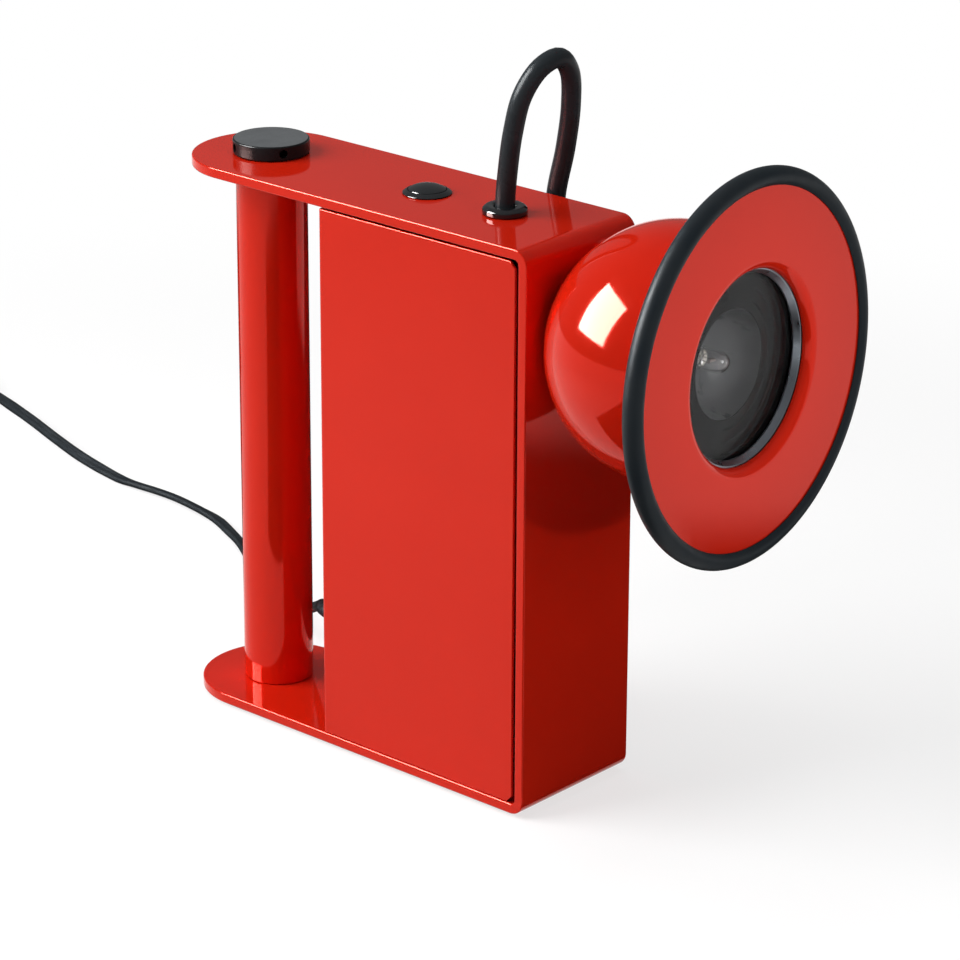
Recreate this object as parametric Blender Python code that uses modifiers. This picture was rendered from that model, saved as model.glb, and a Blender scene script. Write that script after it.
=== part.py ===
"""Table lamp: a bent steel frame with a tube for a handle, a transformer box, and a round
head with a wide flange that a ring magnet holds on the front of the frame.

Metres, +Z up. X runs along the frame, from the handle to the head. Y runs across it. The
origin is on the surface that the lamp stands on, under the middle of the frame.
"""
import math

import bmesh
import bpy
from mathutils import Euler, Matrix, Vector

# Gaps that every piece shares
TOUCH_GAP = 0.0003
FIT_GAP = 0.0003
CUT_OVERRUN = 0.002
WELD_DISTANCE = 0.000001

# Frame: one steel strip bent to a C
FRAME_LENGTH = 0.2114
FRAME_WIDTH = 0.069
FRAME_HEIGHT = 0.250
STRIP_GAUGE = 0.0045
STRIP_INNER_BEND = 0.0023
EDGE_BREAK = 0.0004
EDGE_ANGLE = math.radians(60)
SHARP_ANGLE = math.radians(35)

# Sole: thin rubber sheet under the frame
SOLE_THICKNESS = 0.0012
SOLE_INSET = 0.0025
SOLE_BEHIND_BEND = 0.0060

# Handle: tube, bushes, tie rod and the round capstan nut on top
TUBE_RADIUS = 0.0156
TUBE_WALL = 0.0015
BUSH_LENGTH = 0.010
ROD_RADIUS = 0.004
ROD_HEAD_RADIUS = 0.0072
ROD_HEAD_DEPTH = 0.0030
KNOB_RADIUS = 0.01675
KNOB_HEIGHT = 0.0064
KNOB_CROWN = 0.0017
KNOB_EDGE = 0.0006
KNOB_HOLE_RADIUS = 0.0019
KNOB_HOLE_DEPTH = 0.0060
KNOB_HOLE_COUNT = 4
KNOB_FIRST_HOLE_ANGLE = math.radians(-27.0)

# Cover: folded sheet that makes three sides of the box
COVER_REAR_SHARE = 0.28571
COVER_SHEET = 0.0015
COVER_INSET = 0.0004
COVER_INNER_BEND = 0.0004
COVER_FRONT_GAP = 0.0019
COVER_TOP_GAP = 0.0010
COVER_CORNER_CUT = 0.0030
COVER_SCREW_FROM_END = 0.016

# Chassis: bent steel bracket inside the box
CHASSIS_SHEET = 0.0015
CHASSIS_WIDTH = 0.050
CHASSIS_LENGTH_SHARE = 0.4163
CHASSIS_TOP_LENGTH = 0.010
CHASSIS_INNER_BEND = 0.0010
BASE_SCREW_RADIUS = 0.0020
BASE_SCREW_HEAD_RADIUS = 0.0038
BASE_SCREW_HEAD_DEPTH = 0.0020
BASE_SCREW_OUT = 0.0012
BASE_SCREW_SPACING_SHARE = 0.9333
BASE_SCREW_Y_SPACING = 0.040
SMALL_SCREW_RADIUS = 0.0015
SMALL_HEAD_RADIUS = 0.0028
SMALL_HEAD_HEIGHT = 0.0018
SMALL_HEAD_FLAT_SHARE = 0.7
SMALL_SLOT_WIDTH = 0.0007
SMALL_SLOT_DEPTH = 0.0008
SCREW_END_OUT = 0.0020

# Transformer: laminated core, bobbin, winding and strap
CORE_WIDTH_SHARE = 0.2838
CORE_STACK = 0.030
CORE_FROM_WALL_SHARE = 0.0591
BOBBIN_WALL = 0.0010
BOBBIN_FLANGE = 0.0012
WINDING_MARGIN = 0.0008
STRAP_SHEET = 0.0010
STRAP_WIDTH = 0.018
STRAP_FOOT = 0.0075
STRAP_INNER_BEND = 0.0008

# Terminal block on the chassis wall
TERMINAL_LENGTH = 0.030
TERMINAL_DEPTH = 0.012
TERMINAL_HEIGHT = 0.016
TERMINAL_Z_SHARE = 0.46
TERMINAL_HOLE_RADIUS = 0.0018
TERMINAL_WELL_RADIUS = 0.0023
TERMINAL_WELL_DEPTH = 0.0049
TERMINAL_WAYS = 3

# Switch with the domed button
SWITCH_SHARE = 0.4328
SWITCH_FLANGE_RADIUS = 0.0105
SWITCH_FLANGE_HEIGHT = 0.0012
SWITCH_BARREL_RADIUS = 0.0092
SWITCH_BARREL_WALL = 0.0008
SWITCH_BARREL_LENGTH = 0.0150
SWITCH_FLOOR = 0.0012
BUTTON_RISE = 0.0034
BUTTON_DOME_HEIGHT = 0.0022
BUTTON_SKIRT = 0.0050
BUTTON_STEM_RADIUS = 0.0022
BUTTON_TRAVEL = 0.0025
SPRING_WIRE_RADIUS = 0.0004
SPRING_RADIUS = 0.0045
SPRING_TURNS = 4
SPRING_POINTS_A_TURN = 9
SWITCH_NUT_RADIUS = 0.0125
SWITCH_NUT_HEIGHT = 0.0030
SWITCH_BODY_LENGTH = 0.0150
SWITCH_BODY_WIDTH = 0.0100
SWITCH_BODY_HEIGHT = 0.0140

# Lead to the head, with the gland it leaves the frame by
GLAND_SHARE = 0.6386
LEAD_RADIUS = 0.0042
GLAND_RADIUS = 0.0095
GLAND_HEIGHT = 0.0036
GLAND_MOUTH = 0.0013
GLAND_EDGE = 0.0011
GLAND_BARREL_RADIUS = 0.0066
GLAND_BARREL_LENGTH = 0.0130
GLAND_NUT_HEIGHT = 0.0040
LEAD_INSIDE = 0.022
LEAD_RISE = 0.0655
LEAD_POINT_SPACING = 2.2

# Magnet seat in the front of the frame
SEAT_BELOW_TOP = 0.0390
MAGNET_RADIUS = 0.0186
MAGNET_BORE_RADIUS = 0.0090
MAGNET_THICKNESS = 0.0115
CUP_WALL = 0.0016
CUP_FLANGE_WIDTH = 0.0050
CUP_FLANGE_THICKNESS = 0.0015

# Head: ball, flange disc, rubber rim and what the head holds
BALL_RADIUS = 0.0540
BALL_WALL = 0.0012
HEAD_PAN = math.radians(3.2)
HEAD_LIFT = math.radians(0.76)
RIM_RING_SHARE = 1.4398
RIM_TUBE_RADIUS = 0.0042
RIM_PLANE_SHARE = 0.6463
DISC_SHEET = 0.0016
DISC_AHEAD_OF_RIM = 0.0022
DISC_INTO_RIM = 0.0006
OPENING_SHARE = 0.7481
OPENING_ROLL = 0.0044
BEZEL_LIP = 0.0022
BEZEL_SLOPE_DEPTH = 0.0026
BEZEL_DEPTH = 0.0034
GLASS_THICKNESS = 0.0025
GLASS_HOLD = 0.0002
REFLECTOR_SHEET = 0.0010
REFLECTOR_FLANGE_DEPTH = 0.0012
REFLECTOR_SET_IN = 0.0006
REFLECTOR_STEP = 0.0016
BOWL_SHARE = 0.4222
BOWL_RIM_SHARE = 0.1944
BOWL_DEPTH_SHARE = 0.3519
BOWL_HOLE_RADIUS = 0.0085
BULB_RADIUS = 0.0048
BULB_NECK_SHARE = 1.2
BULB_PINCH_SHARE = 0.75
BULB_PIN_RADIUS = 0.0006
BULB_PIN_LENGTH = 0.0050
BULB_PIN_SPACING = 0.0040
HOLDER_RADIUS = 0.0078
HOLDER_LENGTH = 0.0160
HOLDER_FLANGE_RADIUS = 0.0130
HOLDER_FLANGE_THICKNESS = 0.0025
HEAD_GLAND_RADIUS = 0.0078
HEAD_GLAND_HEIGHT = 0.0042
HEAD_GLAND_EDGE = 0.0017
LEAD_STRAIGHT = 0.0126
HEAD_GLAND_BARREL = 0.0058
HEAD_GLAND_NUT_HEIGHT = 0.0030
HEAD_GLAND_BARREL_LENGTH = 0.0090
HEAD_GLAND_TURN = math.radians(127.0)
LEAD_IN_HEAD = 0.010

# Mains cord, drawn round at the width of its flat sheath, with the plug on its end
CORD_RADIUS = 0.0028
CORD_POINT_SPACING = 5.2
CORD_EXIT_HEIGHT = 0.0436
RELIEF_COLLAR_RADIUS = 0.0062
RELIEF_COLLAR_LENGTH = 0.0030
RELIEF_ROOT_RADIUS = 0.0040
RELIEF_TIP_RADIUS = 0.0030
RELIEF_SPIGOT_RADIUS = 0.0040
RELIEF_SPIGOT_LENGTH = 0.0070
RELIEF_NUT_RADIUS = 0.0070
RELIEF_NUT_LENGTH = 0.0028
RELIEF_END_AHEAD = 0.0194
COIL_INNER_RADIUS = 0.0240
COIL_PITCH = 0.0062
COIL_LAYER_STEP = 0.0061
COIL_LAYER_TURNS = 3
COIL_POINTS_A_TURN = 24
COIL_BEHIND_TUBE = 0.4214
COIL_ACROSS = 0.1394
COIL_FIRST_ANGLE = math.radians(71.3)
COIL_EXTRA_TURN_SHARE = 0.36
COIL_CLIMB_TURNS = 0.5
COIL_TAIL_STEPS = 3
PLUG_LENGTH = 0.036
PLUG_WIDTH = 0.0353
PLUG_THICKNESS = 0.0137
PLUG_NECK_WIDTH = 0.0130
PLUG_EDGE = 0.0025
PLUG_SHOULDER_SHARE = 0.45
PIN_RADIUS = 0.0020
PIN_LENGTH = 0.0190
PIN_SPACING = 0.0186
SLEEVE_LENGTH = 0.0200
SLEEVE_ROOT_RADIUS = 0.0048
SLEEVE_TIP_RADIUS = 0.0034

# Thin wires inside
WIRE_RADIUS = 0.0011
WIRE_POINT_SPACING = 0.0060

# Facets round each kind of turned piece
LARGE_STEPS = 40
BALL_STEPS = 32
MEDIUM_STEPS = 24
SMALL_STEPS = 16
SCREW_STEPS = 10
PIN_STEPS = 8
PLAN_STEPS = 20
DOME_STEPS = 6
TIP_STEPS = 5
RISE_STEPS = 4
CURVE_DIVISIONS = 16
BEND_STEPS = 3
BALL_ARC_STEPS = 11
BALL_INNER_ARC_STEPS = 9
RIM_ARC_STEPS = 10
BOWL_ARC_STEPS = 5

# Sizes and places that follow from the sizes
COVER_REAR_FROM_TUBE = FRAME_LENGTH * COVER_REAR_SHARE
SWITCH_FROM_TUBE = FRAME_LENGTH * SWITCH_SHARE
GLAND_FROM_TUBE = FRAME_LENGTH * GLAND_SHARE
CHASSIS_LENGTH = FRAME_LENGTH * CHASSIS_LENGTH_SHARE
CORE_WIDTH = FRAME_LENGTH * CORE_WIDTH_SHARE
CORE_HEIGHT = CORE_WIDTH * 5 / 6
CORE_LEG = CORE_WIDTH / 3
CORE_WINDOW_WIDTH = CORE_WIDTH / 6
CORE_WINDOW_HEIGHT = CORE_WIDTH / 2
CORE_FROM_CHASSIS_WALL = FRAME_LENGTH * CORE_FROM_WALL_SHARE
BASE_SCREW_X_SPACING = CORE_WIDTH * BASE_SCREW_SPACING_SHARE
RIM_RING_RADIUS = BALL_RADIUS * RIM_RING_SHARE
RIM_PLANE = BALL_RADIUS * RIM_PLANE_SHARE
OPENING_RADIUS = BALL_RADIUS * OPENING_SHARE
BEZEL_INNER_RADIUS = OPENING_RADIUS - BEZEL_LIP
GLASS_RADIUS = OPENING_RADIUS + GLASS_HOLD
REFLECTOR_MOUTH = BEZEL_INNER_RADIUS - REFLECTOR_SET_IN
BOWL_RADIUS = BALL_RADIUS * BOWL_SHARE
BOWL_RIM_BACK = BALL_RADIUS * BOWL_RIM_SHARE
BOWL_DEPTH = BALL_RADIUS * BOWL_DEPTH_SHARE
BULB_LENGTH = BALL_RADIUS / 3
UNDERSIDE = SOLE_THICKNESS + TOUCH_GAP
PLATE_FLOOR = UNDERSIDE + STRIP_GAUGE
FRAME_TOP = UNDERSIDE + FRAME_HEIGHT
PLATE_CEILING = FRAME_TOP - STRIP_GAUGE
FRONT_FACE = FRAME_LENGTH / 2
FRONT_INSIDE = FRONT_FACE - STRIP_GAUGE
REAR_END = -FRAME_LENGTH / 2
TUBE_X = REAR_END + FRAME_WIDTH / 2
SWITCH_X = TUBE_X + SWITCH_FROM_TUBE
GLAND_X = TUBE_X + GLAND_FROM_TUBE
COVER_REAR = TUBE_X + COVER_REAR_FROM_TUBE
COVER_FRONT = FRONT_INSIDE - COVER_FRONT_GAP
COVER_BOTTOM = PLATE_FLOOR + TOUCH_GAP
COVER_TOP = PLATE_CEILING - COVER_TOP_GAP
CHASSIS_REAR = COVER_REAR + COVER_SHEET + TOUCH_GAP
CHASSIS_WALL_FACE = CHASSIS_REAR + CHASSIS_SHEET
CHASSIS_FLOOR = PLATE_FLOOR + TOUCH_GAP + CHASSIS_SHEET
CORE_X = CHASSIS_WALL_FACE + CORE_FROM_CHASSIS_WALL + CORE_WIDTH / 2
CORE_BOTTOM = CHASSIS_FLOOR + TOUCH_GAP
CORE_MIDDLE = CORE_BOTTOM + CORE_HEIGHT / 2
SEAT_Z = FRAME_TOP - SEAT_BELOW_TOP
MAGNET_HOLE_RADIUS = MAGNET_RADIUS + FIT_GAP
BALL_CENTRE_X = FRONT_FACE + math.sqrt((BALL_RADIUS + TOUCH_GAP) ** 2 - MAGNET_RADIUS ** 2)
BALL_CENTRE = Vector((BALL_CENTRE_X, 0.0, SEAT_Z))
DISC_FRONT = RIM_PLANE + DISC_AHEAD_OF_RIM
DISC_BACK = DISC_FRONT - DISC_SHEET
ROLL_END = DISC_FRONT - OPENING_ROLL
BALL_CUT = ROLL_END - TOUCH_GAP
BALL_INSIDE = BALL_RADIUS - BALL_WALL
BALL_INSIDE_START = math.acos(BALL_CUT / BALL_INSIDE)
BALL_INSIDE_CLEAR = BALL_INSIDE * math.cos((math.pi - BALL_INSIDE_START) / BALL_INNER_ARC_STEPS / 2)

X_AXIS = Vector((1.0, 0.0, 0.0))
Z_AXIS = Vector((0.0, 0.0, 1.0))
HEAD_TURN = Euler((0.0, -HEAD_LIFT, HEAD_PAN)).to_matrix().to_4x4()
HEAD_PLACE = Matrix.Translation(BALL_CENTRE) @ HEAD_TURN


def remove_everything():
    """Leave the file with no objects and no collections of an earlier run."""
    for item in list(bpy.data.objects):
        bpy.data.objects.remove(item, do_unlink=True)
    for group in list(bpy.data.collections):
        bpy.data.collections.remove(group)


remove_everything()
LAMP = bpy.data.collections.new("table_lamp")
CUTTERS = bpy.data.collections.new("cutters")
bpy.context.scene.collection.children.link(LAMP)
bpy.context.scene.collection.children.link(CUTTERS)


def make_material(name, colour, roughness, metallic):
    """A plain finish."""
    finish = bpy.data.materials.new(name)
    finish.use_nodes = True
    shader = finish.node_tree.nodes["Principled BSDF"]
    shader.inputs["Base Color"].default_value = (*colour, 1.0)
    shader.inputs["Roughness"].default_value = roughness
    shader.inputs["Metallic"].default_value = metallic
    finish.diffuse_color = (*colour, 1.0)
    return finish


RED_PAINT = make_material("red_paint", (0.62, 0.035, 0.022), 0.16, 0.0)
BLACK_GLOSS = make_material("black_gloss", (0.012, 0.013, 0.014), 0.18, 0.0)
BLACK_RUBBER = make_material("black_rubber", (0.020, 0.021, 0.022), 0.45, 0.0)
BLACK_PLASTIC = make_material("black_plastic", (0.015, 0.015, 0.016), 0.40, 0.0)
DARK_CHROME = make_material("dark_chrome", (0.12, 0.12, 0.125), 0.06, 1.0)
STEEL = make_material("steel", (0.55, 0.55, 0.56), 0.32, 1.0)
CORE_STEEL = make_material("core_steel", (0.20, 0.20, 0.21), 0.45, 1.0)
COPPER = make_material("copper", (0.62, 0.26, 0.12), 0.30, 1.0)
FERRITE = make_material("ferrite", (0.035, 0.035, 0.038), 0.55, 0.3)
CERAMIC = make_material("ceramic", (0.80, 0.78, 0.72), 0.50, 0.0)
GLASS = make_material("glass", (0.75, 0.78, 0.80), 0.03, 0.0)
WIRE_PLASTIC = make_material("wire_plastic", (0.55, 0.50, 0.42), 0.45, 0.0)


def place(item, finish=None, group=LAMP, matrix=None):
    """Put an object in its collection, with its finish and its place."""
    for old in list(item.users_collection):
        old.objects.unlink(item)
    group.objects.link(item)
    if matrix is not None:
        item.matrix_world = matrix
    if finish is not None:
        item.data.materials.clear()
        item.data.materials.append(finish)
    if group is CUTTERS:
        item.hide_render = True
        item.display_type = "WIRE"
    return item


def new_object(name, data, finish=None, group=LAMP, matrix=None):
    """An object made from its data."""
    return place(bpy.data.objects.new(name, data), finish, group, matrix)


def shade(item):
    """Smooth shading with its edges kept sharp."""
    item.data.shade_smooth()
    item.data.set_sharp_from_angle(angle=SHARP_ANGLE)


def along(axis):
    """A turn that takes +Z to an axis."""
    return Z_AXIS.rotation_difference(Vector(axis)).to_matrix().to_4x4()


def at(x, y, z):
    """A place as a matrix."""
    return Matrix.Translation((x, y, z))


def turned(name, profile, steps, finish=None, group=LAMP, matrix=None, closed=False):
    """A turned piece: profile points (radius, height) run down the outer side, top to bottom."""
    mesh = bpy.data.meshes.new(name)
    points = [(radius, 0.0, height) for radius, height in profile]
    edges = [(i, i + 1) for i in range(len(points) - 1)]
    if closed:
        edges.append((len(points) - 1, 0))
    mesh.from_pydata(points, edges, [])
    item = new_object(name, mesh, finish, group, matrix)
    screw = item.modifiers.new("Turn", "SCREW")
    screw.axis = "Z"
    screw.angle = math.tau
    screw.steps = steps
    screw.render_steps = steps
    screw.use_merge_vertices = True
    screw.merge_threshold = WELD_DISTANCE
    screw.use_smooth_shade = True
    return item


def cylinder(name, radius, low, high, steps, finish=None, group=LAMP, matrix=None):
    """A plain round bar from one height to another."""
    profile = [(0.0, high), (radius, high), (radius, low), (0.0, low)]
    return turned(name, profile, steps, finish, group, matrix)


def ring(name, inner, outer, low, high, steps, finish=None, group=LAMP, matrix=None):
    """A plain round ring from one height to another."""
    profile = [(inner, high), (outer, high), (outer, low), (inner, low)]
    return turned(name, profile, steps, finish, group, matrix, closed=True)


def block(name, low, high, finish=None, group=LAMP, matrix=None):
    """A box between two corners."""
    mesh = bpy.data.meshes.new(name)
    shape = bmesh.new()
    bmesh.ops.create_cube(shape, size=1.0)
    size = [b - a for a, b in zip(low, high)]
    middle = [(a + b) / 2 for a, b in zip(low, high)]
    bmesh.ops.scale(shape, vec=size, verts=shape.verts)
    bmesh.ops.translate(shape, vec=middle, verts=shape.verts)
    shape.to_mesh(mesh)
    shape.free()
    return new_object(name, mesh, finish, group, matrix)


def outline_plate(name, outlines, low, high, finish=None, group=LAMP, matrix=None):
    """A flat outline, with any holes as more outlines, made thick from one height to another."""
    curve = bpy.data.curves.new(name, "CURVE")
    curve.dimensions = "2D"
    curve.fill_mode = "BOTH"
    curve.extrude = (high - low) / 2
    for outline in outlines:
        spline = curve.splines.new("POLY")
        spline.points.add(len(outline) - 1)
        for point, (x, y) in zip(spline.points, outline):
            point.co = (x, y, 0.0, 1.0)
        spline.use_cyclic_u = True
    guide = bpy.data.objects.new(name + "_curve", curve)
    CUTTERS.objects.link(guide)
    item = mesh_of(guide, name, finish, group)
    item.data.transform(at(0.0, 0.0, (low + high) / 2))
    if matrix is not None:
        item.matrix_world = matrix
    return item


def mesh_of(guide, name, finish=None, group=LAMP):
    """A welded mesh in place of a curve, which is then removed."""
    bpy.context.view_layer.update()
    depsgraph = bpy.context.evaluated_depsgraph_get()
    mesh = bpy.data.meshes.new_from_object(guide.evaluated_get(depsgraph))
    shape = bmesh.new()
    shape.from_mesh(mesh)
    bmesh.ops.remove_doubles(shape, verts=shape.verts, dist=WELD_DISTANCE)
    bmesh.ops.recalc_face_normals(shape, faces=shape.faces)
    shape.to_mesh(mesh)
    shape.free()
    mesh.name = name
    item = new_object(name, mesh, finish, group, guide.matrix_world.copy())
    bpy.data.objects.remove(guide, do_unlink=True)
    return item


def tube_along(name, points, radius, finish=None, resolution=2, radii=None, group=LAMP):
    """A round bar that follows its points, each with its own radius where radii are given."""
    curve = bpy.data.curves.new(name, "CURVE")
    curve.dimensions = "3D"
    curve.bevel_depth = radius
    curve.bevel_resolution = resolution
    curve.use_fill_caps = True
    spline = curve.splines.new("POLY")
    spline.points.add(len(points) - 1)
    for index, (point, place_of) in enumerate(zip(spline.points, points)):
        point.co = (*place_of, 1.0)
        point.radius = 1.0 if radii is None else radii[index] / radius
    return new_object(name, curve, finish, group)


def boolean(item, other, operation="DIFFERENCE"):
    """Cut an object by another, or keep or join what they share."""
    modifier = item.modifiers.new(operation.title(), "BOOLEAN")
    modifier.operation = operation
    modifier.solver = "EXACT"
    modifier.object = other
    return item


def bored(item, name, radius, low, high, steps, matrix):
    """Cut a round hole between two heights of a placed axis."""
    drill = cylinder(name + "_cutter", radius, low, high, steps, group=CUTTERS, matrix=matrix)
    return boolean(item, drill)


def arc(centre, radius, start, end, steps):
    """Points on an arc, ends included."""
    turns = [start + (end - start) * i / steps for i in range(steps + 1)]
    return [(centre[0] + radius * math.cos(t), centre[1] + radius * math.sin(t)) for t in turns]


def bent_strip(corners, gauge, inner_bend, steps=BEND_STEPS):
    """Outline of a strip of one gauge whose middle line turns at rounded corners."""
    points = [Vector(corner) for corner in corners]
    middle = inner_bend + gauge / 2
    line = [(points[0], left_of(points[1] - points[0]))]
    for before, corner, after in zip(points, points[1:], points[2:]):
        first = (corner - before).normalized()
        second = (after - corner).normalized()
        turn = math.atan2(first.x * second.y - first.y * second.x, first.dot(second))
        side = 1.0 if turn > 0 else -1.0
        back = middle * math.tan(abs(turn) / 2)
        centre = corner - first * back + left_of(first) * middle * side
        for i in range(steps + 1):
            swung = Matrix.Rotation(turn * i / steps, 2) @ left_of(first)
            line.append((centre - swung * middle * side, swung))
    line.append((points[-1], left_of(points[-1] - points[-2])))
    left = [tuple(point + normal * gauge / 2) for point, normal in line]
    right = [tuple(point - normal * gauge / 2) for point, normal in line]
    return left + right[::-1]


def left_of(direction):
    """Unit vector to the left of a direction in the plane."""
    unit = Vector(direction).normalized()
    return Vector((-unit.y, unit.x))


UPRIGHT = Matrix.Rotation(math.radians(90), 4, "X")


def plan_outline(inset, overrun=0.0):
    """Plan of the frame: straight sides, square front, round rear end."""
    half = FRAME_WIDTH / 2 - inset
    front = FRONT_FACE - inset + overrun
    rounded = arc((TUBE_X, 0.0), half, math.radians(90), math.radians(270), PLAN_STEPS)
    return rounded + [(front, -half), (front, half)]


def smooth_route(route, spacing):
    """Points at even spacing on a smooth curve through a route's own points."""
    places = [Vector(point) for point in route]
    ends = [places[0] * 2 - places[1]] + places + [places[-1] * 2 - places[-2]]
    fine = []
    for a, b, c, d in zip(ends, ends[1:], ends[2:], ends[3:]):
        fine.extend(catmull(a, b, c, d, i / CURVE_DIVISIONS) for i in range(CURVE_DIVISIONS))
    fine.append(places[-1])
    lengths = [0.0]
    for a, b in zip(fine, fine[1:]):
        lengths.append(lengths[-1] + (b - a).length)
    count = max(2, round(lengths[-1] / spacing))
    points = []
    index = 0
    for i in range(count + 1):
        wanted = lengths[-1] * i / count
        while index < len(fine) - 2 and lengths[index + 1] < wanted:
            index += 1
        share = (wanted - lengths[index]) / (lengths[index + 1] - lengths[index])
        points.append(fine[index].lerp(fine[index + 1], share))
    return points


def square_ended(route, spacing):
    """A smooth route whose first and last stretches stay straight, square to what they meet."""
    return [Vector(route[0]), *smooth_route(route[1:-1], spacing), Vector(route[-1])]


def catmull(a, b, c, d, share):
    """A point between b and c on the centripetal curve through four points."""
    knots = [0.0]
    for p, q in ((a, b), (b, c), (c, d)):
        knots.append(knots[-1] + math.sqrt((q - p).length))
    t = knots[1] + (knots[2] - knots[1]) * share
    low = blend_at(a, b, knots[0], knots[1], t)
    mid = blend_at(b, c, knots[1], knots[2], t)
    high = blend_at(c, d, knots[2], knots[3], t)
    first = blend_at(low, mid, knots[0], knots[2], t)
    second = blend_at(mid, high, knots[1], knots[3], t)
    return blend_at(first, second, knots[1], knots[2], t)


def blend_at(start, end, first, last, t):
    """The point between two others at a knot value."""
    return start.lerp(end, (t - first) / (last - first))


def route_length(points):
    """Length of a line of points."""
    return sum((Vector(b) - Vector(a)).length for a, b in zip(points, points[1:]))


# Frame strip
def build_frame():
    """The C of steel strip, with its holes."""
    half_gauge = STRIP_GAUGE / 2
    corners = [
        (REAR_END - CUT_OVERRUN, FRAME_TOP - half_gauge),
        (FRONT_FACE - half_gauge, FRAME_TOP - half_gauge),
        (FRONT_FACE - half_gauge, UNDERSIDE + half_gauge),
        (REAR_END - CUT_OVERRUN, UNDERSIDE + half_gauge),
    ]
    outline = bent_strip(corners, STRIP_GAUGE, STRIP_INNER_BEND)
    side = FRAME_WIDTH / 2 + CUT_OVERRUN
    frame = outline_plate("frame_strip", [outline], -side, side, RED_PAINT, matrix=UPRIGHT)
    plan = outline_plate(
        "frame_plan_cutter", [plan_outline(0.0, CUT_OVERRUN)], UNDERSIDE - CUT_OVERRUN,
        FRAME_TOP + CUT_OVERRUN,
        group=CUTTERS,
    )
    boolean(frame, plan, "INTERSECT")
    edge = frame.modifiers.new("Edge break", "BEVEL")
    edge.width = EDGE_BREAK
    edge.segments = 1
    edge.limit_method = "ANGLE"
    edge.angle_limit = EDGE_ANGLE
    upper = PLATE_CEILING - CUT_OVERRUN
    above = FRAME_TOP + CUT_OVERRUN
    rod_hole = ROD_RADIUS + FIT_GAP
    bored(frame, "rod_top", rod_hole, upper, above, SMALL_STEPS, at(TUBE_X, 0.0, 0.0))
    bored(
        frame, "switch_hole", SWITCH_BARREL_RADIUS + FIT_GAP, upper, above, MEDIUM_STEPS,
        at(SWITCH_X, 0.0, 0.0),
    )
    bored(
        frame, "gland_hole", GLAND_BARREL_RADIUS + FIT_GAP, upper, above, SMALL_STEPS,
        at(GLAND_X, 0.0, 0.0),
    )
    boolean(
        frame, countersink("rod_bottom", ROD_RADIUS, ROD_HEAD_RADIUS, ROD_HEAD_DEPTH, at(TUBE_X, 0.0, 0.0)),
    )
    for index, (x, y) in enumerate(base_screw_places()):
        boolean(frame, countersink(
            f"base_screw_{index}", BASE_SCREW_RADIUS, BASE_SCREW_HEAD_RADIUS, BASE_SCREW_HEAD_DEPTH,
            at(x, y, 0.0),
        ))
    bored(
        frame, "magnet_hole", MAGNET_HOLE_RADIUS, FRONT_INSIDE - CUT_OVERRUN, FRONT_FACE + CUT_OVERRUN,
        BALL_STEPS,
        at(0.0, 0.0, SEAT_Z) @ along(X_AXIS),
    )
    shade(frame)
    return frame


def countersink(name, radius, head_radius, head_depth, matrix):
    """Cutter of a countersunk hole through the bottom plate, open below."""
    hole = radius + FIT_GAP
    head = head_radius + FIT_GAP
    profile = [
        (0.0, PLATE_FLOOR + CUT_OVERRUN),
        (hole, PLATE_FLOOR + CUT_OVERRUN),
        (hole, UNDERSIDE + TOUCH_GAP + head_depth + FIT_GAP),
        (head, UNDERSIDE + TOUCH_GAP + FIT_GAP),
        (head, UNDERSIDE - CUT_OVERRUN),
        (0.0, UNDERSIDE - CUT_OVERRUN),
    ]
    return turned(name + "_cutter", profile, SCREW_STEPS, group=CUTTERS, matrix=matrix)


def countersunk_screw(name, radius, head_radius, head_depth, top, matrix, finish=STEEL):
    """A flat head screw that comes up from under the bottom plate to a height."""
    head_face = UNDERSIDE + TOUCH_GAP
    profile = [
        (0.0, top),
        (radius, top),
        (radius, head_face + head_depth),
        (head_radius, head_face),
        (0.0, head_face),
    ]
    return turned(name, profile, SCREW_STEPS, finish, matrix=matrix)


def base_screw_places():
    """Where the four screws from below hold the chassis."""
    return [
        (CORE_X + sx * BASE_SCREW_X_SPACING / 2, sy * BASE_SCREW_Y_SPACING / 2)
        for sx in (-1, 1) for sy in (-1, 1)
    ]


def build_sole():
    """Rubber sheet under the frame, open over each screw head and clear of the front bend."""
    holes = [circle_outline((TUBE_X, 0.0), ROD_HEAD_RADIUS + FIT_GAP, SCREW_STEPS)]
    for spot in base_screw_places():
        holes.append(circle_outline(spot, BASE_SCREW_HEAD_RADIUS + FIT_GAP, SCREW_STEPS))
    outline = plan_outline(SOLE_INSET, -SOLE_BEHIND_BEND)
    return outline_plate("base_sole", [outline] + holes, 0.0, SOLE_THICKNESS, BLACK_RUBBER)


def circle_outline(centre, radius, steps):
    """A circle as a closed outline."""
    return arc(centre, radius, 0.0, math.tau * (steps - 1) / steps, steps - 1)


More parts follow.
